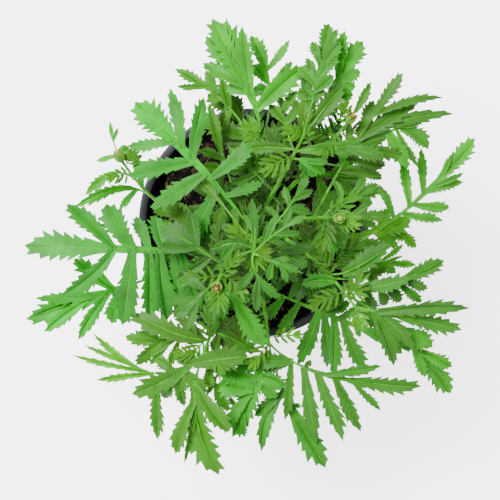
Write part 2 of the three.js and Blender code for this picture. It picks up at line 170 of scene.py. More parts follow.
# %% Floor and light
FLOOR_SIZE, FLOOR_HEIGHT = 8, -0.0002
FLOOR_FINISH = {
    "Base Color": (0.95, 0.95, 0.95, 1),
    "Roughness": 0.9,
    "Emission Color": (1, 1, 1, 1),
    "Emission Strength": 2.5,
}
LAMP_AIM = Vector((0, 0, 0.15))
DAYLIGHT_STRENGTH = 0.8

bpy.ops.mesh.primitive_plane_add(size=FLOOR_SIZE, location=(0, 0, FLOOR_HEIGHT))
floor = bpy.context.object
floor.name = "floor"
paper = bpy.data.materials.new("floor_white")
paper.use_nodes = True
for socket, value in FLOOR_FINISH.items():
    paper.node_tree.nodes["Principled BSDF"].inputs[socket].default_value = value
floor.data.materials.append(paper)


def soft_lamp(name, place, size, power):
    """A square lamp that points at the plant. Metres and watts."""
    bpy.ops.object.light_add(type="AREA", location=place)
    lamp = bpy.context.object
    lamp.name = name
    lamp.data.size = size
    lamp.data.energy = power
    lamp.rotation_euler = (LAMP_AIM - Vector(place)).to_track_quat("-Z", "Y").to_euler()


soft_lamp("key_lamp", (-0.8, 0.6, 2.1), size=0.9, power=145)
soft_lamp("fill_lamp", (1.5, -1.0, 1.4), size=2.0, power=15)
world = bpy.data.worlds.new("studio")
bpy.context.scene.world = world
world.use_nodes = True
world.node_tree.nodes["Background"].inputs["Color"].default_value = (1, 1, 1, 1)
world.node_tree.nodes["Background"].inputs["Strength"].default_value = DAYLIGHT_STRENGTH
print("lamps and floor are in place")

# %% [markdown]
# ## Materials
# A material is a small network of nodes. These helpers add the nodes, so that a finish below reads as a
# recipe: do some maths, mix two colours, or turn the stretch of a number from low to high into another
# stretch. What they are given may be another node's socket, which is linked, or a plain number or
# colour, which is typed in. Patterns are read from the piece's own coordinates, so they stay on it.

# %% Material helpers
MIX_A, MIX_B, MIX_RESULT = 6, 7, 2


def new_material(name, roughness, gloss=0.5):
    material = bpy.data.materials.new(name)
    material.use_nodes = True
    shader = material.node_tree.nodes["Principled BSDF"]
    shader.inputs["Roughness"].default_value = roughness
    shader.inputs["Specular IOR Level"].default_value = gloss
    return material, material.node_tree, shader


def feed(tree, value, socket):
    if isinstance(value, bpy.types.NodeSocket):
        tree.links.new(value, socket)
    elif isinstance(value, tuple):
        socket.default_value = (*value, 1)
    else:
        socket.default_value = value


def maths(tree, operation, a, b=0.0, clamp=False):
    node = tree.nodes.new("ShaderNodeMath")
    node.operation = operation
    node.use_clamp = clamp
    feed(tree, a, node.inputs[0])
    feed(tree, b, node.inputs[1])
    return node.outputs[0]


def times(tree, a, b):
    return maths(tree, "MULTIPLY", a, b)


def mixed(tree, share, a, b):
    node = tree.nodes.new("ShaderNodeMix")
    node.data_type = "RGBA"
    feed(tree, share, node.inputs["Factor"])
    feed(tree, a, node.inputs[MIX_A])
    feed(tree, b, node.inputs[MIX_B])
    return node.outputs[MIX_RESULT]


def ramped(tree, value, low=0.35, high=0.65, to_low=0.0, to_high=1.0):
    node = tree.nodes.new("ShaderNodeMapRange")
    node.interpolation_type = "SMOOTHSTEP"
    given = {"Value": value, "From Min": low, "From Max": high, "To Min": to_low, "To Max": to_high}
    for socket, number in given.items():
        feed(tree, number, node.inputs[socket])
    return node.outputs["Result"]


# %% Where a pattern is read


def own_place(tree):
    return tree.nodes.new("ShaderNodeTexCoord").outputs["Object"]


def parts_of(tree, vector):
    """The X, Y and Z of a vector."""
    split = tree.nodes.new("ShaderNodeSeparateXYZ")
    tree.links.new(vector, split.inputs[0])
    return split.outputs


def blade_place(tree):
    """How far along a blade a point lies, and how far from its midrib: 0 there and 0.5 at the edge."""
    uv = tree.nodes.new("ShaderNodeUVMap")
    uv.uv_map = "UVMap"
    along, across, _ = parts_of(tree, uv.outputs["UV"])
    return along, maths(tree, "ABSOLUTE", maths(tree, "SUBTRACT", across, 0.5))


def noise_of(tree, scale, detail=3, stretch=(1, 1, 1)):
    mapping = tree.nodes.new("ShaderNodeMapping")
    mapping.inputs["Scale"].default_value = stretch
    texture = tree.nodes.new("ShaderNodeTexNoise")
    texture.inputs["Scale"].default_value = scale
    texture.inputs["Detail"].default_value = detail
    tree.links.new(own_place(tree), mapping.inputs["Vector"])
    tree.links.new(mapping.outputs["Vector"], texture.inputs["Vector"])
    return texture.outputs["Fac"]


def attribute_of(tree, name):
    node = tree.nodes.new("ShaderNodeAttribute")
    node.attribute_name = name
    return node.outputs["Fac"]


def finished(tree, shader, colour, height, depth):
    """Give the shader its colour, and a relief of this depth in millimetres."""
    tree.links.new(colour, shader.inputs["Base Color"])
    node = tree.nodes.new("ShaderNodeBump")
    node.inputs["Distance"].default_value = depth * MM
    feed(tree, height, node.inputs["Height"])
    tree.links.new(node.outputs["Normal"], shader.inputs["Normal"])


# %% [markdown]
# A marigold leaflet is a satin green blade. Its midrib is a pale line, fine side veins run out to the
# teeth, the underside is duller and paler, and the very tips of the teeth are brown or purple. The
# veins have to follow each blade, so they read the blade's own UV map: U runs from the foot of the
# leaflet to its tip and V runs across. Three numbers stored on the points say how light the leaf is
# (tone), how yellow (warm), and where the tips of the teeth are (tooth).

# %% Leaf colours
LEAF_COLOURS = {
    "dark_cool": (0.021, 0.05, 0.013),
    "dark_warm": (0.034, 0.066, 0.006),
    "light_cool": (0.017, 0.34, 0.011),
    "light_warm": (0.066, 0.32, 0.003),
}
VEIN_COLOUR = (0.07, 0.38, 0.02)
TOOTH_COLOUR = (0.09, 0.035, 0.02)
UNDERSIDE_COLOUR = (0.2, 0.36, 0.14)


def leaf_green(tree, warm):
    """The green of the blade, with darker clouds in it."""
    dark = mixed(tree, warm, LEAF_COLOURS["dark_cool"], LEAF_COLOURS["dark_warm"])
    light = mixed(tree, warm, LEAF_COLOURS["light_cool"], LEAF_COLOURS["light_warm"])
    cloud = ramped(tree, noise_of(tree, scale=95), high=0.7, to_high=0.4)
    # tone mixes dark and light green: partly the leaf's own lightness, partly painted light and shade.
    return mixed(tree, cloud, mixed(tree, attribute_of(tree, "tone"), dark, light), dark)


# %% Veins, teeth and underside
SIDE_VEINS, VEIN_SLANT, VEIN_EDGE = 7.0, 1.1, 0.09
MIDRIB_CORE, MIDRIB_EDGE = 0.03, 0.1
VEIN_SHOWS, MIDRIB_SHOWS = 0.25, 0.4
LEAST_BROWN = 0.1
MIDRIB_SINK, VEIN_SINK, LEAF_GRAIN, LEAF_RELIEF = -1.0, -0.5, 0.5, 0.18


def vein_lines(tree):
    """Where the midrib and the side veins lie: 1 on the line and 0 off it."""
    along, off_middle = blade_place(tree)
    across = times(tree, off_middle, 2.0)
    slant = maths(tree, "SUBTRACT", times(tree, along, SIDE_VEINS), times(tree, across, VEIN_SLANT))
    fading = dict(to_low=1.0, to_high=0.0)
    line = ramped(tree, maths(tree, "PINGPONG", slant, 0.5), low=0.0, high=VEIN_EDGE, **fading)
    vein = times(tree, line, ramped(tree, across, low=0.5, high=1.0, **fading))
    return ramped(tree, across, low=MIDRIB_CORE, high=MIDRIB_EDGE, **fading), vein


def make_leaf_material():
    material, tree, shader = new_material("leaf_blade", roughness=0.5, gloss=0.12)
    warm = attribute_of(tree, "warm")
    midrib, vein = vein_lines(tree)
    ground = mixed(tree, times(tree, vein, VEIN_SHOWS), leaf_green(tree, warm), VEIN_COLOUR)
    ground = mixed(tree, times(tree, midrib, MIDRIB_SHOWS), ground, VEIN_COLOUR)
    tooth = ramped(tree, attribute_of(tree, "tooth"), low=0.6, high=1.0, to_high=0.8)
    tooth = maths(tree, "MULTIPLY", tooth, maths(tree, "ADD", warm, LEAST_BROWN), clamp=True)
    ground = mixed(tree, tooth, ground, TOOTH_COLOUR)
    normal = tree.nodes.new("ShaderNodeNewGeometry").outputs["Normal"]
    below = ramped(tree, parts_of(tree, normal)[2], low=-0.5, high=-0.1, to_low=0.4, to_high=0.0)
    ground = mixed(tree, below, ground, UNDERSIDE_COLOUR)
    relief = maths(tree, "ADD", times(tree, midrib, MIDRIB_SINK), times(tree, vein, VEIN_SINK))
    relief = maths(tree, "ADD", relief, times(tree, noise_of(tree, scale=900, detail=2), LEAF_GRAIN))
    finished(tree, shader, ground, relief, LEAF_RELIEF)
    return material


leaf_material = make_leaf_material()
print("made", leaf_material.name)

# %% [markdown]
# Stems and leaf ribs are paler than the blades and a little glossy. They have fine ridges along their
# length and, here and there, a purple flush. The stems stand more or less upright, so a fine noise that
# is stretched along Z draws the ridges. A coarse noise, the same in all directions, draws the flush.

# %% Stem material
STEM_PALE = (0.065, 0.32, 0.01)
STEM_GREEN = (0.03, 0.18, 0.006)
STEM_PURPLE = (0.11, 0.06, 0.045)
STEM_RIDGES = 0.25


def make_stem_material():
    material, tree, shader = new_material("stem_skin", roughness=0.42, gloss=0.12)
    streak = noise_of(tree, scale=260, detail=2, stretch=(1, 1, 0.12))
    ground = mixed(tree, ramped(tree, streak), STEM_PALE, STEM_GREEN)
    flush = ramped(tree, noise_of(tree, scale=45), low=0.6, high=0.78, to_high=0.55)
    finished(tree, shader, mixed(tree, flush, ground, STEM_PURPLE), streak, STEM_RIDGES)
    return material


stem_material = make_stem_material()
print("made", stem_material.name)

# %% [markdown]
# The pot is thin dark plastic, nearly black with a touch of purple. A moulded pot is a little rough
# and has faint rings, some dust clings to it, and its rim is greyer where hands and other pots have
# rubbed it.

# %% Pot material
POT_DARK = (0.016, 0.015, 0.02)
POT_DUST = (0.045, 0.038, 0.033)
POT_RUBBED = (0.036, 0.035, 0.044)
RUBBED_FROM, RUBBED_TO = 94, 104.5
RING_WAVES, RING_DEPTH, POT_RELIEF = 2200.0, 0.25, 0.12


def make_pot_material():
    material, tree, shader = new_material("pot_plastic", roughness=0.5, gloss=0.15)
    height = parts_of(tree, own_place(tree))[2]
    patches = ramped(tree, noise_of(tree, scale=60, detail=4), low=0.25, high=0.75, to_low=0.35)
    rub = times(tree, ramped(tree, height, RUBBED_FROM * MM, RUBBED_TO * MM), patches)
    dust = ramped(tree, noise_of(tree, scale=25, detail=5), low=0.5, high=0.8, to_high=0.25)
    ground = mixed(tree, rub, mixed(tree, dust, POT_DARK, POT_DUST), POT_RUBBED)
    rings = times(tree, maths(tree, "SINE", times(tree, height, RING_WAVES)), RING_DEPTH)
    grain = maths(tree, "ADD", rings, noise_of(tree, scale=1500, detail=2))
    finished(tree, shader, ground, grain, POT_RELIEF)
    return material


pot_material = make_pot_material()
print("made", pot_material.name)

# %% [markdown]
# Potting soil is peat, dark brown on the lumps. The gaps between the lumps get painted shade, nearly
# black, so one noise gives both the colour and the relief. The bits in it, bark and plant fibres, are
# lighter and show up as straw-coloured strokes.

# %% Soil materials
# The first colour is painted shade, nearly black, for the gaps between the lumps.
SOIL_HOLLOW_SHADE = (0.0025, 0.0018, 0.0018)
SOIL_BROWN = (0.024, 0.014, 0.01)
SOIL_RELIEF, BIT_RELIEF = 1.6, 0.2


def make_soil_material():
    material, tree, shader = new_material("peat", roughness=0.95, gloss=0.1)
    crumb = noise_of(tree, scale=300, detail=5)
    # painted shade: the low places of the noise, which are the hollows of the relief, come out nearly black.
    ground = mixed(tree, ramped(tree, crumb, low=0.5, high=0.64), SOIL_HOLLOW_SHADE, SOIL_BROWN)
    finished(tree, shader, ground, crumb, SOIL_RELIEF)
    return material


def make_bit_material(name, dark, pale):
    material, tree, shader = new_material(name, roughness=0.85)
    ground = mixed(tree, ramped(tree, noise_of(tree, scale=130)), dark, pale)
    finished(tree, shader, ground, noise_of(tree, scale=900), BIT_RELIEF)
    return material


soil_material = make_soil_material()
fibre_material = make_bit_material("straw_fibre", dark=(0.08, 0.034, 0.014), pale=(0.27, 0.15, 0.07))
bark_material = make_bit_material("bark_chip", dark=(0.02, 0.011, 0.007), pale=(0.13, 0.065, 0.035))
print("made", soil_material.name, fibre_material.name, bark_material.name)

# %% [markdown]
# A bud's cup is yellow-green and mottled, with tiny oil glands that look like dots. Its furled petals
# are dark red-brown with yellow edges on the ripe buds, and still green on the youngest. How ripe a
# bud is, is a number stored on its points.

# %% Bud materials
CUP_GREEN, CUP_YELLOW, GLAND_COLOUR = (0.05, 0.19, 0.012), (0.13, 0.33, 0.025), (0.16, 0.1, 0.02)
RIPE_PETAL, RIPE_EDGE = (0.08, 0.008, 0.004), (0.6, 0.32, 0.02)
GREEN_PETAL, GREEN_EDGE = (0.14, 0.3, 0.02), (0.45, 0.55, 0.06)
GLANDS_PER_METRE = 1400
PETAL_END, RIM_FROM, RIM_TO = 0.48, 0.41, 0.49
BUD_RELIEF = 0.05


def make_cup_material():
    material, tree, shader = new_material("bud_cup", roughness=0.45, gloss=0.2)
    ground = mixed(tree, ramped(tree, noise_of(tree, scale=300)), CUP_GREEN, CUP_YELLOW)
    dots = tree.nodes.new("ShaderNodeTexVoronoi")
    dots.inputs["Scale"].default_value = GLANDS_PER_METRE
    tree.links.new(own_place(tree), dots.inputs["Vector"])
    gland = ramped(tree, dots.outputs["Distance"], low=0.1, high=0.25, to_low=0.7, to_high=0.0)
    finished(tree, shader, mixed(tree, gland, ground, GLAND_COLOUR), gland, BUD_RELIEF)
    return material


def make_petal_material():
    material, tree, shader = new_material("furled_petal", roughness=0.6)
    along, off_middle = blade_place(tree)
    near_edge = maths(tree, "MAXIMUM", off_middle, times(tree, along, PETAL_END))
    rim = ramped(tree, near_edge, low=RIM_FROM, high=RIM_TO)
    ripe = mixed(tree, rim, RIPE_PETAL, RIPE_EDGE)
    unripe = mixed(tree, rim, GREEN_PETAL, GREEN_EDGE)
    colour = mixed(tree, attribute_of(tree, "ripe"), unripe, ripe)
    creases = noise_of(tree, scale=1500, detail=2, stretch=(1, 1, 0.2))
    finished(tree, shader, colour, creases, BUD_RELIEF)
    return material


cup_material = make_cup_material()
petal_material = make_petal_material()
print("made", cup_material.name, petal_material.name)

# %% [markdown]
# ## Pot
# A pot is a turned shape, so it can be spun from its outline or drawn up ring by ring. Here a ring is
# extruded and scaled from each point of the outline to the next, up the outside, over the thick rim
# and down the inside, and the two end rings are filled. That shows each ring as it is made.

# %% Ring by ring


def turned(name, outline, segments, material):
    """A closed turned body. outline is a list of (radius, height) in millimetres."""
    bpy.ops.object.select_all(action="DESELECT")
    radius, height = outline[0]
    bpy.ops.mesh.primitive_circle_add(vertices=segments, radius=radius * MM, location=(0, 0, height * MM))
    body = bpy.context.object
    named(body, name)
    bpy.ops.object.mode_set(mode="EDIT")
    bpy.ops.mesh.edge_face_add()
    bpy.ops.mesh.select_all(action="DESELECT")
    bpy.ops.mesh.select_mode(type="EDGE")
    bpy.ops.mesh.select_non_manifold()
    for next_radius, next_height in outline[1:]:
        rise = {"value": (0, 0, (next_height - height) * MM)}
        grow = next_radius / radius
        bpy.ops.mesh.extrude_edges_move(TRANSFORM_OT_translate=rise)
        bpy.ops.transform.resize(value=(grow, grow, 1))
        radius, height = next_radius, next_height
    bpy.ops.mesh.edge_face_add()
    bpy.ops.mesh.select_all(action="SELECT")
    bpy.ops.mesh.normals_make_consistent(inside=False)
    bpy.ops.object.mode_set(mode="OBJECT")
    bpy.ops.object.transform_apply()
    body.data.materials.append(material)
    return body


# %% The pot's outline
POT_HEIGHT = RIM_HEIGHT
POT_RIM = 60
POT_FOOT = 43
POT_WALL = 1.8
POT_FLOOR = 2.2
RIM_DEPTH = 11
RIM_STEP = 2.2
RIM_FOOT = POT_HEIGHT - RIM_DEPTH
RIM_LOWER_CORNER = (POT_RIM - 1.1, RIM_FOOT + 0.5)
FOOT_ROUND, RIM_LOWER_ROUND, RIM_UPPER_ROUND, FLOOR_ROUND = 1.2, 0.7, 1, 1.8
END_RING, STEP_OUT = 5, 0.5
OUTER_RINGS, INNER_RING = (30, 60), 50
LIP = ((1.3, 0.1), (0.3, 0.8), (0, 2.2))
POT_SEGMENTS = 128


def wall_radius(height):
    return mix(POT_FOOT, POT_RIM - RIM_STEP, height / RIM_FOOT)


def rounded(corner, radius, start, end, steps=5):
    """Points of a round corner: its centre, its radius and its start and end angle in degrees."""
    turns = np.radians(np.linspace(start, end, steps))
    return [(corner[0] + radius * math.cos(t), corner[1] + radius * math.sin(t)) for t in turns]


wall_top = wall_radius(RIM_FOOT)
inside_top = wall_top - POT_WALL
inside_foot = wall_radius(POT_FLOOR + FLOOR_ROUND) - POT_WALL
pot_outline = [
    (POT_FOOT - END_RING, 0),
    *rounded((POT_FOOT - FOOT_ROUND, FOOT_ROUND), FOOT_ROUND, -90, -5),
    *[(wall_radius(height), height) for height in (*OUTER_RINGS, RIM_FOOT - RIM_STEP)],
    (wall_top + STEP_OUT, RIM_FOOT - RIM_STEP / 2),
    *rounded(RIM_LOWER_CORNER, RIM_LOWER_ROUND, -80, -5),
    *rounded((POT_RIM - RIM_UPPER_ROUND, POT_HEIGHT - RIM_UPPER_ROUND), RIM_UPPER_ROUND, 0, 90),
    *[(inside_top + out, POT_HEIGHT - down) for out, down in LIP],
    (inside_top, RIM_FOOT),
    (wall_radius(INNER_RING) - POT_WALL, INNER_RING),
    *rounded((inside_foot - FLOOR_ROUND, POT_FLOOR + FLOOR_ROUND), FLOOR_ROUND, -5, -90),
]
pot = turned("pot_shell", pot_outline, POT_SEGMENTS, pot_material)
print("pot:", len(pot.data.polygons), "faces")

# %% [markdown]
# Water leaves the pot through six holes in its floor. They are cut with one Boolean modifier by six
# cylinders, which go once the modifier is applied.

# %% Drain holes
DRAIN_HOLES = 6
DRAIN_RADIUS = 4.2
DRAIN_CIRCLE = 29
DRILL_LENGTH, DRILL_SIDES = 10, 32

drills = []
for i in range(DRAIN_HOLES):
    turn = 2 * math.pi * i / DRAIN_HOLES
    spot = (DRAIN_CIRCLE * math.cos(turn) * MM, DRAIN_CIRCLE * math.sin(turn) * MM, 0)
    bpy.ops.mesh.primitive_cylinder_add(
        vertices=DRILL_SIDES, radius=DRAIN_RADIUS * MM, depth=DRILL_LENGTH * MM, location=spot
    )
    drills.append(bpy.context.object)
drill = joined(*drills)
modified(pot, "BOOLEAN", operation="DIFFERENCE", solver="EXACT", object=drill)
remove(drill)
smoothed(pot, degrees=35)
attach(pot, "root")
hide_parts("pot")
print("pot with holes:", len(pot.data.polygons), "faces")

# %% [markdown]
# ## Soil
# The soil fills the pot to 13 mm below the rim. It is turned like the pot, with many rings on top, and
# then each point of the top is lifted or sunk by a noise, coarse lumps first and crumbs on top of
# them, and heaped a little towards the stem. The same height is asked for again when the bits are
# strewn on it.

# %% Soil surface
SOIL_LEVEL = 92
SOIL_GAP, CORNER_GAP, CORNER_RISE = 0.3, 0.5, 2
SOIL_FOOT = POT_FLOOR + SOIL_GAP
SOIL_EDGE = wall_radius(SOIL_LEVEL) - POT_WALL - SOIL_GAP
SOIL_RINGS, SOIL_SEGMENTS, INNERMOST_RING = 44, 144, 0.6
SOIL_SINK, LUMP_HEIGHT, CRUMB_HEIGHT, HEAP_HEIGHT = 0.9, 1.0, 1.3, 0.8
LUMPS_PER_MM, CRUMBS_PER_MM, CRUMB_MEAN = 0.11, 0.42, 0.3
LUMP_SLICE, CRUMB_SLICE, CRUMB_OCTAVES = 3.7, 1.3, 3


def soil_height(x, y):
    lump = noise.noise(Vector((x, y, LUMP_SLICE)) * LUMPS_PER_MM)
    crumb_place = Vector((x, y, CRUMB_SLICE)) * CRUMBS_PER_MM
    crumb = noise.turbulence(crumb_place, CRUMB_OCTAVES, False) - CRUMB_MEAN
    heap = 1.0 - min(1.0, math.hypot(x, y) / SOIL_EDGE)
    return SOIL_LEVEL - SOIL_SINK + LUMP_HEIGHT * lump + CRUMB_HEIGHT * crumb + HEAP_HEIGHT * heap


soil_outline = [
    (POT_FOOT - END_RING, SOIL_FOOT),
    (wall_radius(SOIL_FOOT) - POT_WALL - CORNER_GAP, SOIL_FOOT + CORNER_RISE),
    *[(mix(SOIL_EDGE, INNERMOST_RING, i / SOIL_RINGS), SOIL_LEVEL) for i in range(SOIL_RINGS + 1)],
]
soil = turned("soil_fill", soil_outline, SOIL_SEGMENTS, soil_material)
for vertex in soil.data.vertices:
    if vertex.co.z > (SOIL_LEVEL - 1) * MM:
        vertex.co.z = soil_height(vertex.co.x / MM, vertex.co.y / MM) * MM
select_only(soil)
bpy.ops.object.shade_smooth()
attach(soil, "root")
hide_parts("potting_soil")
print("soil:", len(soil.data.polygons), "faces")

# %% [markdown]
# The bits in the soil are two small shapes: a thin bent fibre, drawn out of a five-sided ring, and a
# flat chip, which starts as the roughest ball that Blender has. Each is made once. The copies are
# turned, scaled and sunk a little into the soil, and then joined into one piece for each kind.

# %% One fibre and one chip
FIBRE_RADIUS, CHIP_RADIUS, CHIP_SHAPE = 0.22, 1, (1, 0.65, 0.3)
FIBRE_STEPS = (
    ((1.6, 0.3, 0.3), 1.1), ((1.7, 0.5, 0), 0.95), ((1.6, -0.4, -0.1), 0.9), ((1.3, -0.6, -0.3), 0.5),
)

upright = dict(fill_type="NGON", rotation=(0, math.pi / 2, 0))
fibre = primitive(bpy.ops.mesh.primitive_circle_add, vertices=5, radius=FIBRE_RADIUS * MM, **upright)
bpy.ops.object.mode_set(mode="EDIT")
for shift, shrink in FIBRE_STEPS:
    bpy.ops.mesh.extrude_region_move(TRANSFORM_OT_translate={"value": tuple(v * MM for v in shift)})
    bpy.ops.transform.resize(value=(shrink, shrink, shrink))
bpy.ops.mesh.select_all(action="SELECT")
bpy.ops.mesh.normals_make_consistent(inside=False)
bpy.ops.object.mode_set(mode="OBJECT")
fibre.data.materials.append(fibre_material)

rough_ball = dict(subdivisions=1, radius=CHIP_RADIUS * MM, scale=CHIP_SHAPE)
chip = primitive(bpy.ops.mesh.primitive_ico_sphere_add, **rough_ball)
chip.data.materials.append(bark_material)
print("fibre:", len(fibre.data.polygons), "faces, chip:", len(chip.data.polygons), "faces")

# %% Strewing
STREWN_EDGE = SOIL_EDGE - 3
TILT_ALONG, TILT_ACROSS = 0.35, 0.5


def turned_by(angle, axis):
    return Matrix.Rotation(angle, 4, axis)


def strewn(name, master, count, seed, smallest, largest, lift):
    """Copies of a bit, scattered evenly over the soil and joined into one piece."""
    bits = []
    for i in range(count):
        radius = STREWN_EDGE * math.sqrt(chance(seed, 4 * i))
        turn = math.pi * draw(seed + 1, 4 * i + 1)
        x, y = radius * math.cos(turn), radius * math.sin(turn)
        size = mix(smallest, largest, chance(seed + 2, i) ** 2)
        heading = turned_by(math.pi * draw(seed + 3, i), "Z")
        along = turned_by(TILT_ALONG * draw(seed + 4, i), "Y")
        across = turned_by(TILT_ACROSS * draw(seed + 5, i), "X")
        spot = Matrix.Translation(Vector((x, y, soil_height(x, y) + lift * size)) * MM)
        bit = copy_of(master)
        bit.data.transform(spot @ heading @ (along @ across) @ Matrix.Diagonal((size, size, size, 1)))
        bits.append(bit)
    piece = joined(*bits)
    named(piece, name)
    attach(piece, "root")
    return piece


fibres = strewn("soil_fibres", fibre, count=460, seed=11, smallest=0.25, largest=0.95, lift=0.15)
chips = strewn("soil_chips", chip, count=620, seed=31, smallest=0.4, largest=1.8, lift=0.05)
remove(fibre, chip)
print("strewn:", len(fibres.data.polygons), "and", len(chips.data.polygons), "faces")

# %% [markdown]
# ## The plant's plan
# Twelve stems carry the leaves. Each stem is a curve with three points: a foot, a bend that it is drawn
# towards, and a tip. The side stems start inside the main one, each at its own height. The plan of the
# stems is the solid model's own, repeated here line by line, so that each fine leaf lies where its
# solid one does.

# %% Stems
MAIN_FOOT, MAIN_BEND, MAIN_TIP = (0, 0, 72), (0, 0, 140), (0, -16, 197)
SHOOTS = {
    "left_shoot": (104, (-42, -8, 118), (-64, 29, 164)),
    "low_left_shoot": (97, (-20, -12, 112), (-38, -24, 127)),
    "front_left_shoot": (106, (-12, -34, 148), (-26, -68, 160)),
    "front_shoot": (101, (4, -34, 128), (8, -62, 152)),
    "front_right_shoot": (112, (26, -8, 150), (50, -43, 172)),
    "right_shoot": (118, (28, 3, 140), (39, 1, 190)),
    "low_right_shoot": (98, (24, -8, 114), (44, -14, 136)),
    "back_right_shoot": (110, (28, 26, 135), (45, 47, 182)),
    "back_shoot": (124, (10, 14, 162), (24, 41, 188)),
    "back_left_shoot": (105, (2, 30, 132), (3, 44, 170)),
    "centre_left_shoot": (126, (-14, -16, 150), (-17, -30, 196)),
}
HEIGHT_STEPS = 2001


def on_curve(curve, t):
    """The point at t of a curve given by three points. t may be one number or an array of them."""
    foot, bend, tip = curve
    t = np.asarray(t, float)[..., None]
    return (1 - t) ** 2 * foot + 2 * t * (1 - t) * bend + t**2 * tip


def course_of(curve, t):
    """The direction of the curve at t."""
    foot, bend, tip = curve
    t = np.asarray(t, float)[..., None]
    return unit((1 - t) * (bend - foot) + t * (tip - bend))


def share_at_height(curve, height):
    shares = np.linspace(0, 1, HEIGHT_STEPS)
    return float(np.interp(height, on_curve(curve, shares)[:, 2], shares))


main_curve = tuple(np.array(p, float) for p in (MAIN_FOOT, MAIN_BEND, MAIN_TIP))
curves = {"main_stem": main_curve}
for name, (height, bend, tip) in SHOOTS.items():
    foot = on_curve(main_curve, share_at_height(main_curve, height))
    curves[name] = (foot, np.array(bend, float), np.array(tip, float))
print("stems:", len(curves))

# %% [markdown]
# A leaf can be set out in two ways. Those that lie hidden are noted as a botanist would: where the leaf
# grows on its stem, its tip, how its rib arches, and how many pairs of leaflets it has. The leaves that
# show are drawn one by one. Their places are given as the camera sees them: so far across, so far down
# its picture, and how high above the floor. That still gives one point in space, and every one of these
# leaves starts on its stem. All leaves have a tone, from dark to light, which is partly their own colour
# and partly painted light and shade, and a warmth, from bluish to yellowish green. shade is painted
# shade: it makes the side leaflets of a leaf darker than the one at its tip.

# %% The camera's view, in millimetres


def picture_scale(height):
    """The millimetres that one dot of the picture covers at this height."""
    return SEEN_AT_RIM / PICTURE * (CAMERA_ABOVE_RIM + RIM_HEIGHT - height) / CAMERA_ABOVE_RIM


def seen(across, down, height):
    """The point that the camera sees at this place of its picture at this height."""
    scale = picture_scale(height)
    x = CAMERA_SPOT[0] + (across - PICTURE / 2) * scale
    return np.array((x, CAMERA_SPOT[1] + (PICTURE / 2 - down) * scale, height))


def in_picture(points):
    """Where the camera sees one point or many of them: the inverse of seen()."""
    scale = picture_scale(points[..., 2])
    across = PICTURE / 2 + (points[..., 0] - CAMERA_SPOT[0]) / scale
    return across, PICTURE / 2 - (points[..., 1] - CAMERA_SPOT[1]) / scale


# %% Two ways to note a leaf


def leaf(at, tip, arch, pairs, reach, breadth, tone, warm, spread=1, gap=0.4):
    """How far along its stem a leaf grows, its tip, how its rib arches, and its leaflets."""
    return dict(
        at=at, tip=np.array(tip, float), arch=arch, pairs=pairs, reach=reach, breadth=breadth,
        tone=tone, warm=warm, spread=spread, gap=gap,
    )


# shade is painted shade: the side leaflets of a seen leaf are painted darker than the one at its tip.
def seen_leaf(at, bend, tip, end, breadth, tone, warm, blades=(), shade=0.9):
    """A leaf as the camera sees it. Its rib is drawn towards bend, and its last leaflet starts at end.

    Each of blades is a leaflet: its foot, its tip, how far it drops, its breadth and perhaps its bow.
    """
    return dict(
        at=at, bend=seen(*bend), tip=seen(*tip), end=end, breadth=breadth,
        tone=tone, warm=warm, blades=blades, shade=shade,
    )


# %% [markdown]
# The plan itself comes next, stem by stem. A leaf's place in its list feeds its chances, so a new leaf
# goes to the end of a list, and the others stay as they are.


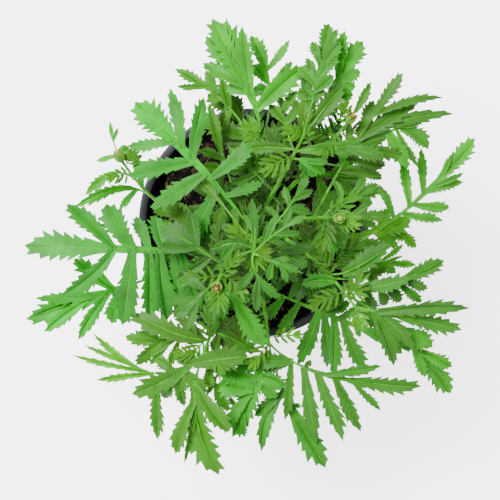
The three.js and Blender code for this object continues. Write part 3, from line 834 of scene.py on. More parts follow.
# %% Leaves of the main stem
LEAVES = {}
LEAVES["main_stem"] = [
    seen_leaf(0.65, (234, 197, 176), (135, 102, 184), (171, 141), 12.5, 0.95, 0.0, [
        (175, 142, 127, 146, 4, 5.6), (183, 148, 170, 88, -1, 6.5), (195, 156, 203, 98, -1, 8),
        (195, 161, 128, 176, 6, 9), (207, 172, 150, 207, 8, 9), (214, 175, 256, 143, 0, 7.4),
        (222, 184, 191, 244, 9, 8), (231, 191, 263, 182, 3, 5.5),
    ], 0.62),
    seen_leaf(0.98, (278, 228, 206), (306, 216, 203), (287, 225), 3.2, 0.45, 0.15, [
        (266, 242, 277, 213, 0, 3.2), (274, 234, 301, 234, 2, 2.8), (282, 228, 291, 206, 0, 3.2),
        (268, 240, 286, 244, 3, 2.2), (262, 246, 268, 222, 2, 2.4),
    ]),
    seen_leaf(0.99, (277, 263, 202), (303, 273, 196), (264, 260), 4, 0.45, 0.12, [
        (270, 263, 291, 260, 0, 2.6), (280, 267, 287, 283, 3, 3), (272, 264, 268, 281, 4, 3),
    ]),
    seen_leaf(0.62, (226, 182, 150), (209, 103, 144), (219, 152), 5.5, 0.45, 0.6, [
        (220, 160, 199, 150, 3, 5), (222, 170, 202, 165, 3, 5),
    ]),
    seen_leaf(0.86, (222, 202, 176), (203, 183, 170), (216, 196), 6, 0.35, 0.6, [
        (226, 205, 216, 222, 5, 5),
    ]),
    seen_leaf(0.84, (285, 220, 184), (308, 175, 175), (300, 196), 4, 0.4, 0.2, [
        (288, 213, 306, 205, 4, 3.4), (291, 206, 285, 186, 2, 3.8), (282, 222, 265, 206, 3, 3.4),
        (292, 210, 312, 214, 4, 3.8), (297, 202, 313, 191, 3, 3.8),
    ]),
    seen_leaf(0.96, (257, 228, 203), (252, 199, 202), (256, 241), 3.8, 0.32, 0.1, [
        (256, 238, 265, 214, 2, 2.8), (256, 236, 244, 214, 2, 2.8),
    ]),
    seen_leaf(0.94, (238, 237, 200), (211, 250, 192), (249, 244), 4.8, 0.3, 0.1, [
        (240, 241, 226, 228, 0, 4), (234, 243, 221, 260, 4, 4.5),
    ]),
    seen_leaf(0.95, (236, 254, 196), (213, 270, 186), (247, 256), 4.6, 0.3, 0.3),
    seen_leaf(0.93, (246, 276, 194), (281, 299, 184), (252, 280), 4.6, 0.35, 0.1, [
        (250, 272, 238, 290, 3, 4), (254, 281, 256, 313, 6, 4.6),
    ]),
    leaf(0.6, (-26, -12, 156), 6, 2, 18, 6, 0.4, 0.3),
    leaf(0.72, (26, -22, 170), 6, 2, 15, 6, 0.3, 0.15),
    leaf(0.5, (20, -30, 140), 6, 3, 14, 4, 0.3, 0.4),
    leaf(0.7, (-24, 4, 160), 5, 3, 12, 4, 0.45, 0.5),
]
print({stem: len(plans) for stem, plans in LEAVES.items()})

# %% Leaves on the left
LEAVES["centre_left_shoot"] = [
    seen_leaf(0.5, (150, 250, 176), (24, 245, 165), (108, 252), 12, 0.64, 0.0, [
        (114, 251, 67, 204, 0, 8, -0.04), (134, 252, 107, 204, 4, 11, 0.02),
        (114, 255, 60, 296, 6, 8, 0.15), (132, 255, 122, 325, 9, 10), (159, 253, 166, 320, 10, 10),
        (181, 252, 200, 313, 12, 8.5), (148, 254, 149, 326, 15, 8.5), (172, 253, 184, 330, 18, 7),
        (163, 252, 155, 215, 6, 8), (150, 252, 136, 216, 14, 6), (188, 252, 212, 226, 4, 7),
    ], 0.75),
    leaf(0.7, (-44, -2, 176), 8, 2, 20, 7, 0.2, 0.1),
    seen_leaf(0.85, (229, 290, 188), (263, 346, 170), (236, 303), 9.5, 0.75, 0.25, [
        (229, 290, 250, 302, 2, 4.5), (228, 287, 222, 318, 6, 5),
    ]),
    seen_leaf(0.45, (203, 238, 160), (164, 203, 150), (192, 238), 7.5, 0.3, 0.75, [
        (196, 240, 178, 236, 3, 5),
    ]),
    leaf(0.93, (-38, -46, 193), 5, 2, 14, 5, 0.25, 0.15),
]
LEAVES["left_shoot"] = [
    leaf(0.35, (-50, -8, 127), 4, 2, 15, 6, 0.3, 0.7),
    leaf(0.22, (-26, 28, 114), 4, 2, 15, 6, 0.3, 0.6),
    seen_leaf(0.66, (130, 170, 142), (73, 208, 146), (132, 188), 5.2, 0.95, 0.3, [
        (136, 194, 119, 209, 6, 3.6),
    ]),
    seen_leaf(0.8, (140, 190, 152), (134, 150, 150), (130, 180), 4, 0.95, 0.3, [
        (137, 193, 139, 176, 0, 3.4),
    ]),
    seen_leaf(0.9, (112, 164, 162), (85, 195, 156), (117, 172), 5, 0.95, 0.3),
    seen_leaf(0.97, (113, 152, 168), (110, 121, 166), (113, 142), 2, 0.95, 0.3, [
        (113, 141, 118, 128, 0, 1.8), (114, 158, 96, 161, 1, 3), (116, 153, 129, 148, 2, 4.5),
    ]),
    leaf(0.45, (-52, 8, 134), 3, 0, 18, 4, 0.45, 0.5),
]
LEAVES["low_left_shoot"] = [
    seen_leaf(0.95, (128, 286, 132), (26, 319, 122), (104, 290), 11, 0.92, 0.05, [
        (98, 292, 35, 298, 0, 6), (88, 299, 44, 331, 3, 6.5), (113, 286, 74, 258, -1, 8),
        (108, 288, 78, 340, 5, 6.5), (118, 285, 112, 323, 5, 8), (126, 284, 126, 322, 6, 6.5),
    ]),
    leaf(0.4, (-22, -42, 114), 4, 2, 16, 7, 0.3, 0.5),
]
print({stem: len(plans) for stem, plans in LEAVES.items()})

# %% Leaves in front
LEAVES["front_left_shoot"] = [
    seen_leaf(0.98, (181, 414, 160), (219, 474, 149), (194, 398), 12, 0.38, 0.6, [
        (194, 401, 175, 454, 4, 7.5, -0.02), (194, 412, 184, 463, 9, 3), (198, 386, 228, 432, -2, 8.5),
        (198, 398, 213, 416, 8, 3),
    ]),
    seen_leaf(0.95, (190, 373, 166), (132, 394, 151), (192, 376), 9.5, 0.33, 0.5, [
        (201, 374, 248, 356, -4, 11), (158, 386, 157, 440, 14, 6.5), (180, 378, 184, 406, 12, 5),
        (176, 381, 164, 398, 10, 6), (196, 372, 176, 352, 3, 6), (178, 376, 156, 358, 2, 6),
        (188, 376, 205, 394, 6, 8), (186, 376, 178, 392, 5, 7),
    ]),
    seen_leaf(0.96, (163, 404, 144), (93, 333, 128), (136, 368), 3.4, 1, 0.9, [
        (148, 372, 73, 355, 0, 3), (138, 367, 84, 345, -1, 2.6), (154, 374, 96, 380, 1, 3.6),
    ]),
    seen_leaf(0.7, (185, 352, 152), (125, 336, 146), (165, 348), 6.5, 0.4, 0.65, [
        (168, 348, 139, 331, 1, 4), (172, 348, 150, 365, 4, 4), (180, 345, 168, 366, 4, 4),
        (164, 350, 136, 364, 3, 7), (176, 347, 146, 358, 3, 3.4),
    ]),
    seen_leaf(0.86, (178, 340, 166), (130, 312, 158), (200, 345), 9.5, 0.26, 0.6, [
        (204, 346, 172, 310, 3, 5), (196, 343, 186, 317, 3, 5),
    ]),
    seen_leaf(0.9, (205, 366, 152), (228, 412, 142), (211, 386), 6, 0.4, 0.6, [
        (206, 372, 224, 366, 0, 5), (204, 368, 208, 388, 2, 6), (202, 366, 190, 360, 1, 4.5),
    ]),
    seen_leaf(0.9, (214, 372, 150), (236, 408, 140), (228, 396), 2.4, 0.45, 0.7, [
        (214, 376, 206, 396, 2, 2.4), (219, 384, 236, 386, 1, 2.4), (222, 388, 214, 398, 2, 2),
        (227, 395, 243, 396, 1, 2.4), (208, 366, 220, 362, 0, 3),
    ]),
    seen_leaf(0.8, (230, 336, 158), (258, 352, 146), (220, 339), 7, 0.35, 0.5, [
        (226, 340, 232, 358, 3, 5), (216, 341, 213, 352, 3, 5), (213, 338, 207, 329, 1, 5),
    ]),
]
LEAVES["front_shoot"] = [
    seen_leaf(0.97, (305, 385, 152), (421, 386, 142), (347, 380), 7.5, 0.3, 0.3, [
        (290, 363, 285, 420, 10, 5), (302, 371, 316, 446, 12, 7), (316, 375, 343, 441, 9, 7.5),
        (334, 379, 361, 431, 7, 6.6), (352, 381, 381, 411, 4, 3.6), (325, 376, 382, 366, -3, 5),
        (303, 371, 311, 360, -2, 3), (290, 367, 251, 360, 0, 8), (290, 366, 262, 371, 2, 6),
    ]),
    seen_leaf(0.88, (271, 383, 142), (326, 468, 133), (288, 408), 10, 0.44, 0.2, [
        (268, 398, 261, 451, 5, 6.5, -0.22), (284, 406, 301, 407, 0, 2.5), (270, 398, 254, 416, 3, 6),
    ]),
    seen_leaf(0.93, (262, 375, 154), (232, 437, 140), (259, 370), 10, 0.64, 0.2, [
        (256, 382, 276, 398, 5, 6.5), (252, 394, 224, 433, 2, 6, -0.1), (256, 390, 217, 384, 1, 10),
        (258, 380, 216, 370, 1, 9), (262, 376, 285, 386, 4, 8), (260, 370, 235, 361, 0, 7),
        (244, 412, 244, 437, 2, 4),
    ]),
    seen_leaf(0.5, (312, 309, 152), (416, 350, 140), (362, 322), 7.5, 0.42, 0.25, [
        (319, 311, 297, 365, 10, 7.6), (327, 311, 350, 303, 0, 6), (326, 310, 327, 368, 14, 6.6),
        (336, 313, 333, 378, 9, 7), (300, 302, 277, 338, 6, 5.2), (285, 294, 264, 318, 8, 5.4),
        (290, 296, 302, 276, 0, 5), (276, 290, 286, 274, 1, 4.6), (270, 289, 262, 303, 5, 4.6),
        (345, 316, 366, 373, 8, 7.4, -0.12), (357, 320, 360, 337, 2, 2.6), (340, 314, 372, 300, -2, 6),
        (322, 310, 345, 292, -2, 6),
    ]),
    leaf(0.7, (-18, -62, 132), 4, 2, 16, 7, 0.4, 0.5),
]
LEAVES["front_right_shoot"] = [
    seen_leaf(0.98, (378, 312, 176), (462, 330, 161), (398, 318), 7.5, 0.3, 0.35, [
        (378, 314, 470, 308, 0, 7.5, 0.04), (368, 313, 413, 350, 8, 7, 0.15),
        (372, 316, 394, 366, 14, 7.5, 0.1), (362, 311, 380, 328, 5, 7),
    ]),
    seen_leaf(0.85, (395, 289, 170), (444, 260, 157), (403, 282), 7.5, 0.25, 0.25, [
        (400, 283, 428, 289, 3, 5), (355, 297, 412, 279, -3, 8), (397, 286, 421, 303, 6, 4.5),
        (380, 290, 386, 306, 5, 6), (388, 288, 400, 302, 6, 6), (366, 296, 374, 310, 6, 6),
    ]),
    seen_leaf(0.7, (340, 284, 168), (391, 245, 168), (344, 278), 10, 0.3, 0.2),
    seen_leaf(0.62, (342, 268, 156), (377, 258, 148), (340, 264), 6.5, 0.25, 0.75),
    seen_leaf(0.76, (352, 282, 158), (389, 268, 150), (356, 277), 5.5, 0.45, 0.85, [
        (366, 275, 378, 284, 2, 4),
    ]),
    seen_leaf(0.8, (322, 277, 168), (302, 284, 165), (334, 282), 7.2, 0.65, 0.12),
    seen_leaf(0.68, (328, 248, 168), (348, 226, 166), (324, 260), 7, 0.7, 0.1),
    seen_leaf(0.9, (401, 318, 162), (451, 394, 140), (426, 347), 9, 0.52, 0.35, [
        (424, 343, 452, 367, 1, 6), (420, 337, 425, 377, 6, 5), (404, 322, 433, 347, 2, 9),
    ]),
]
print({stem: len(plans) for stem, plans in LEAVES.items()})

# %% Leaves on the right
LEAVES["right_shoot"] = [
    seen_leaf(0.65, (354, 139, 176), (403, 73, 181), (373, 117), 5.6, 0.22, 0.45, [
        (376, 117, 443, 97, 3, 4.4, 0.1), (360, 140, 454, 114, 6, 6, 0.16),
        (360, 139, 420, 101, 4, 8.5, 0.06), (353, 129, 374, 100, 0, 6), (360, 148, 403, 157, 5, 6.5),
        (352, 146, 388, 135, 3, 7), (352, 162, 386, 166, 5, 5.5), (344, 174, 382, 176, 6, 5),
    ]),
    seen_leaf(0.8, (338, 194, 176), (385, 190, 168), (346, 192), 6, 0.45, 0.35, [
        (350, 191, 366, 177, 1, 4), (354, 191, 373, 204, 3, 4.4), (350, 191, 378, 184, 2, 5),
        (340, 198, 334, 180, 2, 3.6),
    ]),
    seen_leaf(0.92, (352, 213, 190), (387, 218, 182), (354, 215), 5.4, 0.25, 0.4, [
        (350, 215, 372, 203, 1, 3.6), (354, 215, 376, 227, 3, 5.4),
    ]),
    seen_leaf(0.5, (304, 236, 150), (322, 259, 142), (300, 229), 6.5, 0.3, 0.25),
]
LEAVES["low_right_shoot"] = [
    seen_leaf(0.97, (402, 229, 150), (475, 138, 146), (440, 180), 8, 0.7, 0.4, [
        (438, 179, 452, 154, 0, 3), (429, 184, 464, 173, 0, 3.2), (423, 190, 464, 182, 2, 4.8),
        (421, 191, 421, 148, 0, 4.8), (410, 201, 450, 208, 3, 5.2), (407, 204, 401, 158, 1, 5),
        (400, 211, 443, 221, 4, 5), (392, 216, 379, 184, 1, 4.8),
    ]),
    seen_leaf(0.85, (360, 234, 132), (411, 221, 125), (372, 230), 10, 0.6, 0.85, [
        (378, 229, 388, 209, 0, 6), (396, 226, 416, 248, 3, 5), (374, 231, 398, 247, 3, 6),
        (360, 233, 352, 262, 6, 8), (352, 236, 384, 248, 6, 7), (384, 233, 405, 240, 4, 5),
    ]),
    leaf(0.45, (44, 16, 116), 4, 2, 17, 7, 0.35, 0.5),
    leaf(0.55, (32, -44, 114), 4, 2, 15, 6, 0.35, 0.4),
    seen_leaf(0.9, (362, 262, 138), (416, 265, 128), (388, 265), 4, 0.75, 0.6, [
        (380, 262, 404, 244, 0, 3), (384, 264, 403, 256, 0, 1.6), (372, 262, 396, 273, 3, 6.5),
    ]),
]
print({stem: len(plans) for stem, plans in LEAVES.items()})

# %% Leaves at the back
LEAVES["back_right_shoot"] = [
    seen_leaf(0.78, (378, 138, 176), (426, 118, 168), (402, 127), 4.4, 0.55, 0.4, [
        (400, 127, 428, 149, 8, 8, 0.25), (388, 131, 408, 168, 6, 8), (396, 128, 419, 168, 9, 3.4),
    ]),
    seen_leaf(0.97, (357, 112, 185), (371, 82, 182), (358, 114), 4.2, 0.35, 0.5),
    seen_leaf(0.62, (350, 172, 158), (386, 162, 150), (360, 170), 5.5, 0.8, 0.4, [
        (362, 169, 382, 180, 4, 5), (346, 140, 331, 117, 2, 5), (348, 138, 350, 120, 1, 4),
    ]),
    leaf(0.5, (56, 22, 138), 8, 2, 17, 7, 0.35, 0.4),
    leaf(0.55, (28, 66, 148), 4, 2, 17, 6, 0.4, 0.6),
]
LEAVES["back_shoot"] = [
    seen_leaf(0.98, (316, 90, 192), (329, 24, 183), (324, 58), 6.6, 0.44, 0.3, [
        (322, 66, 312, 41, 0, 4.6), (324, 62, 338, 29, 0, 4.6), (319, 78, 307, 58, 2, 3.8),
        (317, 86, 299, 66, 3, 7), (316, 92, 334, 76, 0, 6), (312, 104, 303, 76, 6, 5.5),
        (322, 72, 341, 41, 1, 6), (314, 98, 297, 92, 4, 7), (318, 102, 322, 86, 3, 6),
        (321, 80, 335, 52, 2, 7),
    ]),
    seen_leaf(0.88, (318, 108, 182), (363, 41, 172), (339, 74), 8.5, 0.8, 0.3, [
        (334, 81, 361, 72, 1, 6.4), (329, 88, 356, 87, 3, 6.4), (324, 97, 353, 95, 4, 5.6),
        (336, 79, 345, 31, 0, 6), (320, 104, 338, 112, 5, 6),
    ]),
    leaf(0.45, (-12, 36, 164), 4, 2, 13, 5, 0.5, 0.4),
    seen_leaf(0.85, (320, 148, 184), (377, 146, 176), (300, 150), 6.5, 0.4, 0.3, [
        (330, 147, 350, 155, 3, 4), (345, 148, 385, 157, 2, 7),
    ]),
    seen_leaf(0.86, (272, 145, 182), (248, 149, 174), (290, 148), 6.2, 0.3, 0.4),
    seen_leaf(0.78, (305, 157, 182), (325, 174, 173), (300, 160), 5.6, 0.7, 0.1, [
        (306, 162, 328, 162, 1, 4), (309, 164, 313, 177, 4, 3.8), (302, 160, 304, 171, 5, 3.6),
    ]),
    seen_leaf(0.95, (318, 116, 188), (343, 85, 184), (309, 124), 8.5, 0.2, 0.4),
    seen_leaf(0.9, (306, 118, 190), (305, 96, 186), (303, 135), 7, 0.3, 0.7),
    seen_leaf(0.84, (284, 128, 176), (280, 94, 168), (283, 112), 3.6, 0.5, 0.6, [
        (283, 113, 297, 90, 1, 5), (284, 122, 270, 104, 2, 5), (286, 124, 299, 108, 2, 4.6),
    ]),
]
LEAVES["back_left_shoot"] = [
    seen_leaf(0.98, (262, 106, 182), (212, 19, 179), (247, 84), 14, 0.8, 0.35, [
        (253, 94, 242, 26, -3, 7), (247, 84, 226, 17, 5, 4.5), (249, 87, 203, 63, 3, 7),
        (260, 108, 302, 68, 2, 10), (253, 92, 228, 84, 8, 7), (244, 79, 206, 36, 1, 8),
        (240, 70, 212, 21, 0, 8),
    ]),
    seen_leaf(0.8, (284, 96, 162), (251, 35, 159), (272, 68), 7.2, 0.92, 0.35, [
        (273, 69, 290, 40, 0, 4), (275, 82, 253, 64, 3, 6.5), (273, 90, 251, 90, 4, 7.5),
        (274, 86, 292, 62, 3, 4.4),
    ]),
    seen_leaf(0.7, (232, 94, 152), (175, 69, 144), (214, 84), 5.4, 0.5, 0.6, [
        (211, 82, 177, 86, 2, 3.4), (222, 88, 206, 70, 0, 5), (238, 100, 222, 78, 1, 6),
        (226, 92, 208, 98, 3, 6), (240, 102, 226, 112, 4, 7),
    ]),
    seen_leaf(0.8, (252, 162, 156), (229, 173, 148), (262, 160), 7.5, 0.3, 0.4),
    seen_leaf(0.45, (252, 112, 140), (207, 94, 135), (250, 113), 10, 0.22, 0.6, [
        (250, 138, 206, 122, 6, 10), (252, 116, 233, 95, 2, 8), (225, 110, 218, 147, 8, 7),
        (252, 142, 224, 138, 8, 9),
    ]),
]
print("leaves:", sum(len(rows) for rows in LEAVES.values()))

# %% [markdown]
# ## One leaflet
# A leaflet is a blade with a winged foot, its widest part past the middle, and teeth that lean towards
# its tip. It starts as a flat square grid, because a grid already has the UV map that the veins need.
# Row by row the grid is scaled to the blade's width and moved to its place, and the blade is then one
# unit long. Next, the outermost points are pushed forward and out at a tooth, and drawn in at the notch
# after it. The notch moves forward a little as well: cut straight in, it would fold the small faces
# inside it over. Last, the middle is sunk and the halves are bulged, so that the blade folds along its
# midrib.

# %% The outline of a leaflet
LEAFLET_PLACES = [0, 0.1, 0.22, 0.38, 0.52, 0.65, 0.78, 0.9, 1]
SIDE_WIDTHS = [0.34, 0.38, 0.52, 0.74, 0.92, 1.0, 0.9, 0.5, 0.01]
END_WIDTHS = [0.3, 0.38, 0.56, 0.78, 0.94, 1.0, 0.88, 0.52, 0.01]
SLIM_WIDTHS = [0.4, 0.42, 0.58, 0.82, 0.98, 0.98, 0.78, 0.4, 0.01]
WING_END, POINT_WIDTH = 0.13, 0.01
TOOTH_LEAN, TOOTH_LUCK = 0.065, 0.45
NOTCH_AFTER, NOTCH_LEAN, DEEPEST_CUT = 0.022, 0.035, 0.42


def toothed_rows(widths, teeth, first, last, low_notch, high_notch):
    """Rows of a leaflet from foot to tip: place, half width, how far the edge is cut in, tooth or not."""
    rows = [(0, widths[0], 0, 0), (WING_END, float(np.interp(WING_END, LEAFLET_PLACES, widths)), 0, 0)]
    for place, notch in zip(np.linspace(first, last, teeth), np.linspace(low_notch, high_notch, teeth)):
        width = float(np.interp(place + TOOTH_LEAN / 2, LEAFLET_PLACES, widths))
        rows.append((float(place), width, 0, 1))
        rows.append((float(place) + NOTCH_AFTER, width, float(notch), 0))
    rows.append((1, POINT_WIDTH, 0, 0))
    return rows


# %% Rows set to their places and widths


def grid_of_rows(name, rows, columns):
    """A grid whose rows have these places and widths, with each point's row and its side, from -1 to 1."""
    last = len(rows) - 1
    counts = dict(x_subdivisions=last, y_subdivisions=columns)
    blade = primitive(bpy.ops.mesh.primitive_grid_add, size=2, location=(1, 0, 0), **counts)
    blade.name = name
    points = blade.data.vertices
    row_of = [round(p.co.x / 2 * last) for p in points]
    side_of = [p.co.y for p in points]
    bpy.ops.object.mode_set(mode="EDIT")
    bpy.ops.mesh.select_mode(type="VERT")
    for number, (place, width, _, _) in enumerate(rows):
        bpy.ops.mesh.select_all(action="DESELECT")
        bpy.ops.object.mode_set(mode="OBJECT")
        for i, point in enumerate(points):
            point.select = row_of[i] == number
        bpy.ops.object.mode_set(mode="EDIT")
        bpy.ops.transform.resize(value=(1, width, 1))
        bpy.ops.transform.translate(value=(place - 2 * number / last, 0, 0))
    bpy.ops.object.mode_set(mode="OBJECT")
    return blade, row_of, side_of


# %% Teeth and fold
OUTERMOST = 0.99
TOOTH_OUT, TOOTH_OUT_LUCK = 0.1, 0.3
SIDES_APART = 0.02
FOLD, SUNK, BULGE, RISE = 0.42, -0.3, 0.6, 0.15


def shaped_leaflet(name, rows, columns, seed=0):
    """A leaflet along +X, one unit long, its half breadth one unit. seed makes its teeth uneven."""
    blade, row_of, side_of = grid_of_rows(name, rows, columns)
    tooth = blade.data.attributes.new("tooth", "FLOAT", "POINT")
    for i, point in enumerate(blade.data.vertices):
        row, side = row_of[i], side_of[i]
        _, width, cut, is_tooth = rows[row]
        outer = abs(side)
        if outer > OUTERMOST:
            luck = TOOTH_LUCK * draw(seed + 3 * row, 5 * side)
            drawn_in = min(cut * (1 + luck), DEEPEST_CUT)
            point.co.y *= (1 - drawn_in) * (1 + is_tooth * (TOOTH_OUT + TOOTH_OUT_LUCK * luck))
            point.co.x += TOOTH_LEAN * is_tooth * (1 + luck) + SIDES_APART * side * (0 < row < len(rows) - 1)
            point.co.x += NOTCH_LEAN * (cut > 0)
            tooth.data[i].value = is_tooth
        point.co.z = FOLD * width * (min(outer * 2, 1) * BULGE + outer * RISE + SUNK)
    blade.data.materials.append(leaf_material)
    return blade


# %% [markdown]
# No two teeth are alike on a real leaf, so side leaflets, end leaflets and slim ones have two or three
# variants that take turns, with other numbers of teeth and other chances. A young leaflet is tiny, and
# has two teeth. The wing is the narrow strip of blade that runs along a rib between the leaflets.

# %% The leaflets
LEAFLET_KINDS = {
    "side": (SIDE_WIDTHS, ((6, 0.24), (5, 0.34), (6, 0.32)), 0.86, (0.2, 0.38), 0, 4),
    "end": (END_WIDTHS, ((6, 0.26), (5, 0.34)), 0.86, (0.2, 0.46), 40, 4),
    "slim": (SLIM_WIDTHS, ((6, 0.22), (5, 0.3)), 0.84, (0.26, 0.36), 80, 4),
    "young": (SLIM_WIDTHS, ((2, 0.42),), 0.74, (0.2, 0.34), 90, 2),
}
WING_ROWS = [(0, 0.3, 0, 0), (0.3, 0.4, 0, 0), (0.55, 0.75, 0, 0), (0.8, 1, 0, 0), (1, 0.8, 0, 0)]


def variants_of(kind, widths, variants, last, notches, seed, columns):
    """The leaflets of one kind. Each of variants is a number of teeth and the place of the first one.

    last is the place of the last tooth, and notches says how deep the first and the last notch are.
    """
    leaflets = []
    for i, (teeth, first) in enumerate(variants):
        rows = toothed_rows(widths, teeth, first, last, *notches)
        leaflets.append(shaped_leaflet(f"{kind}_leaflet_{i}", rows, columns, seed + 7 * i))
    return leaflets


leaflets_of = {kind: variants_of(kind, *shape) for kind, shape in LEAFLET_KINDS.items()}
rib_wing = shaped_leaflet("rib_wing", WING_ROWS, 2)
masters = [*sum(leaflets_of.values(), []), rib_wing]
for master in masters:
    print(master.name, len(master.data.polygons), "faces")

# %% [markdown]
# ## From leaflets to leaves
# A leaf is a rib with leaflets on both sides and one more at its tip. The rib is a curve like the
# stems'. A leaflet is laid by taking a copy of the flat one and giving every point a new place: so far
# along the leaflet's own course, so far to the side, so far up. The blade rolls, twists and waves a
# little about its course, each one differently. The leaflet at the tip is laid along the rib itself,
# and so is the wing.

# %% Laying a blade along a curve
ROLL, TWIST, FOLD_LUCK = 0.35, 0.5, 0.7
ROLL_DRAW, TWIST_DRAW, FOLD_DRAW = 1.7, 2.9, 4.1
EDGE_WAVE, EDGE_WAVES, BACK_WAVE, BACK_WAVES = 0.09, 9, 0.12, 4
UP = np.array((0.0, 0.0, 1.0))


def laid(master, curve, breadth, tone, warm, seed):
    """A copy of a flat leaflet whose points follow a curve."""
    blade = copy_of(master)
    count = len(blade.data.vertices)
    flat = np.empty(count * 3)
    blade.data.vertices.foreach_get("co", flat)
    along, side, up = flat[0::3], flat[1::3], flat[2::3]
    course = course_of(curve, along)
    across = unit(np.cross(UP, course))
    face = np.cross(course, across)
    roll = ROLL * draw(seed, ROLL_DRAW) * np.minimum(1, 4 * along)
    turn = (roll + TWIST * draw(seed, TWIST_DRAW) * along)[:, None]
    across, face = across * np.cos(turn) + face * np.sin(turn), face * np.cos(turn) - across * np.sin(turn)
    edge_wave = EDGE_WAVE * np.sin(EDGE_WAVES * along + seed) * np.abs(side)
    back_wave = BACK_WAVE * np.sin(BACK_WAVES * along + 2 * seed) * np.minimum(1, 3 * along)
    lifted = up * (1 + FOLD_LUCK * draw(seed, FOLD_DRAW)) + (edge_wave + back_wave)
    half = breadth / 2
    places = on_curve(curve, along) + across * side[:, None] * half + face * lifted[:, None] * half
    blade.data.vertices.foreach_set("co", (places * MM).ravel())
    for name, value in (("tone", tone), ("warm", warm)):
        blade.data.attributes.new(name, "FLOAT", "POINT").data.foreach_set("value", np.full(count, value))
    return blade


def part_of(curve, start, end):
    """The stretch of a curve from start to end, as a curve of its own."""
    foot, bend, tip = curve
    once = start * (1 - end) + end * (1 - start)
    middle = (1 - start) * (1 - end) * foot + once * bend + start * end * tip
    return on_curve(curve, start), middle, on_curve(curve, end)


# %% [markdown]
# The leaflets of a botanist's leaf stand in pairs, wide open at the foot of the leaf and swept forward
# at its tip. Their courses droop and bend towards the leaf's tip, and the lowest pair is a little
# smaller. The leaflets of a leaf that is given as seen start on the rib near their foot in the picture,
# and arch to their tip.

# %% Leaflets in pairs
FIRST_ANGLE, LAST_ANGLE, LONE_ANGLE = 80, 42, 50
ANGLE_LUCK, REACH_LUCK = 7, 0.12
LAST_REACHES, EARLIEST_LAST, LATEST_LAST, FIRST_PAIR = 1.05, 0.4, 0.8, 0.16
LOWEST_PAIR = 0.85
DROOP, DROOP_LUCK, SWEEP, SWEEP_LUCK = 0.16, 0.14, 0.1, 0.12
BARE_SHARE = 0.22
FULLNESS = 1.1


def paired_leaflets(plan, rib, length, seed):
    """Each leaflet's share of the rib, its curve and its breadth, and where the last leaflet starts."""
    reach, pairs = plan["reach"], plan["pairs"]
    last = min(max(1 - LAST_REACHES * reach / length, EARLIEST_LAST), LATEST_LAST)
    gap = min(plan["gap"] * reach / length, (last - FIRST_PAIR) / max(pairs - 1, 1))
    found = []
    for i in range(pairs):
        share = last - gap * (pairs - 1 - i)
        splay = LONE_ANGLE if pairs == 1 else mix(FIRST_ANGLE, LAST_ANGLE, i / (pairs - 1))
        size = LOWEST_PAIR if i == 0 and pairs > 2 else 1
        along = course_of(rib, share)
        side = unit(np.cross(UP, along))
        normal = np.cross(along, side)
        root = on_curve(rib, share)
        for hand in (1, -1):
            luck = 10 * i + hand
            angle = math.radians(splay * plan["spread"] + ANGLE_LUCK * draw(seed, luck))
            out = along * math.cos(angle) + side * hand * math.sin(angle)
            ahead = along * math.sin(angle) - side * hand * math.cos(angle)
            own_reach = reach * size * (1 + REACH_LUCK * draw(seed, luck + 5))
            sweep = SWEEP + SWEEP_LUCK * draw(seed, luck + 6)
            droop = DROOP + DROOP_LUCK * draw(seed, luck + 7)
            tip = root + (out + (ahead * sweep - normal * droop)) * own_reach
            found.append((share, (root, root + out * own_reach / 2, tip), plan["breadth"] * FULLNESS * size))
    return found, last if pairs else BARE_SHARE


# %% Leaflets as seen
SEEN_FULLNESS, SIDE_BOW, ARCH = 1.22, 0.06, 0.12
RIB_STEPS = 201


def seen_leaflets(plan, rib, seed):
    """The same for a leaf whose leaflets are given as the camera sees them."""
    shares = np.linspace(0, 1, RIB_STEPS)
    across, down = in_picture(on_curve(rib, shares))

    def share_near(x, y):
        return float(shares[np.argmin((across - x) ** 2 + (down - y) ** 2)])

    found = []
    for i, (foot_x, foot_y, tip_x, tip_y, drop, breadth, *bow) in enumerate(plan["blades"]):
        share = share_near(foot_x, foot_y)
        root = on_curve(rib, share)
        tip = seen(tip_x, tip_y, root[2] - drop)
        chord = tip - root
        side = np.array((-chord[1], chord[0], 0)) * (SIDE_BOW * draw(seed, 20 + i) + sum(bow))
        curve = (root, root + chord / 2 + side + UP * ARCH * np.linalg.norm(chord), tip)
        found.append((share, curve, breadth * SEEN_FULLNESS))
    return found, share_near(*plan["end"])


# %% [markdown]
# Stems and ribs are round and taper to their tip. A Bezier curve with a round bevel gives that: its two
# handles are set so that it follows the three-point curve, its radius goes from one end's to the
# other's, and then it is turned into a mesh.

# %% Ribs and stems as bevelled curves


def tube(curve, foot_radius, tip_radius, sides=2, steps=12):
    """A tapered round stem along a three-point curve."""
    foot, bend, tip = (Vector(p * MM) for p in curve)
    bpy.ops.object.select_all(action="DESELECT")
    bpy.ops.curve.primitive_bezier_curve_add()
    stalk = bpy.context.object
    ends = stalk.data.splines[0].bezier_points
    for end in ends:
        end.handle_left_type = end.handle_right_type = "FREE"
    ends[0].co, ends[1].co = foot, tip
    ends[0].handle_right = foot.lerp(bend, 2 / 3)
    ends[0].handle_left = foot.lerp(bend, -1 / 3)
    ends[1].handle_left = tip.lerp(bend, 2 / 3)
    ends[1].handle_right = tip.lerp(bend, -1 / 3)
    ends[0].radius, ends[1].radius = foot_radius / tip_radius, 1.0
    stalk.data.bevel_depth = tip_radius * MM
    stalk.data.bevel_resolution = sides
    stalk.data.resolution_u = steps
    stalk.data.use_fill_caps = True
    bpy.ops.object.convert(target="MESH")
    stalk.data.materials.append(stem_material)
    return stalk


# %% [markdown]
# Now the parts of a leaf come together. Blades that are narrow for their length take the slim leaflet.
# Each blade's tone also carries painted light and shade for its place: blades near the middle of the
# bushy plant are painted darker, as shade, and the leaves far out are painted lighter.

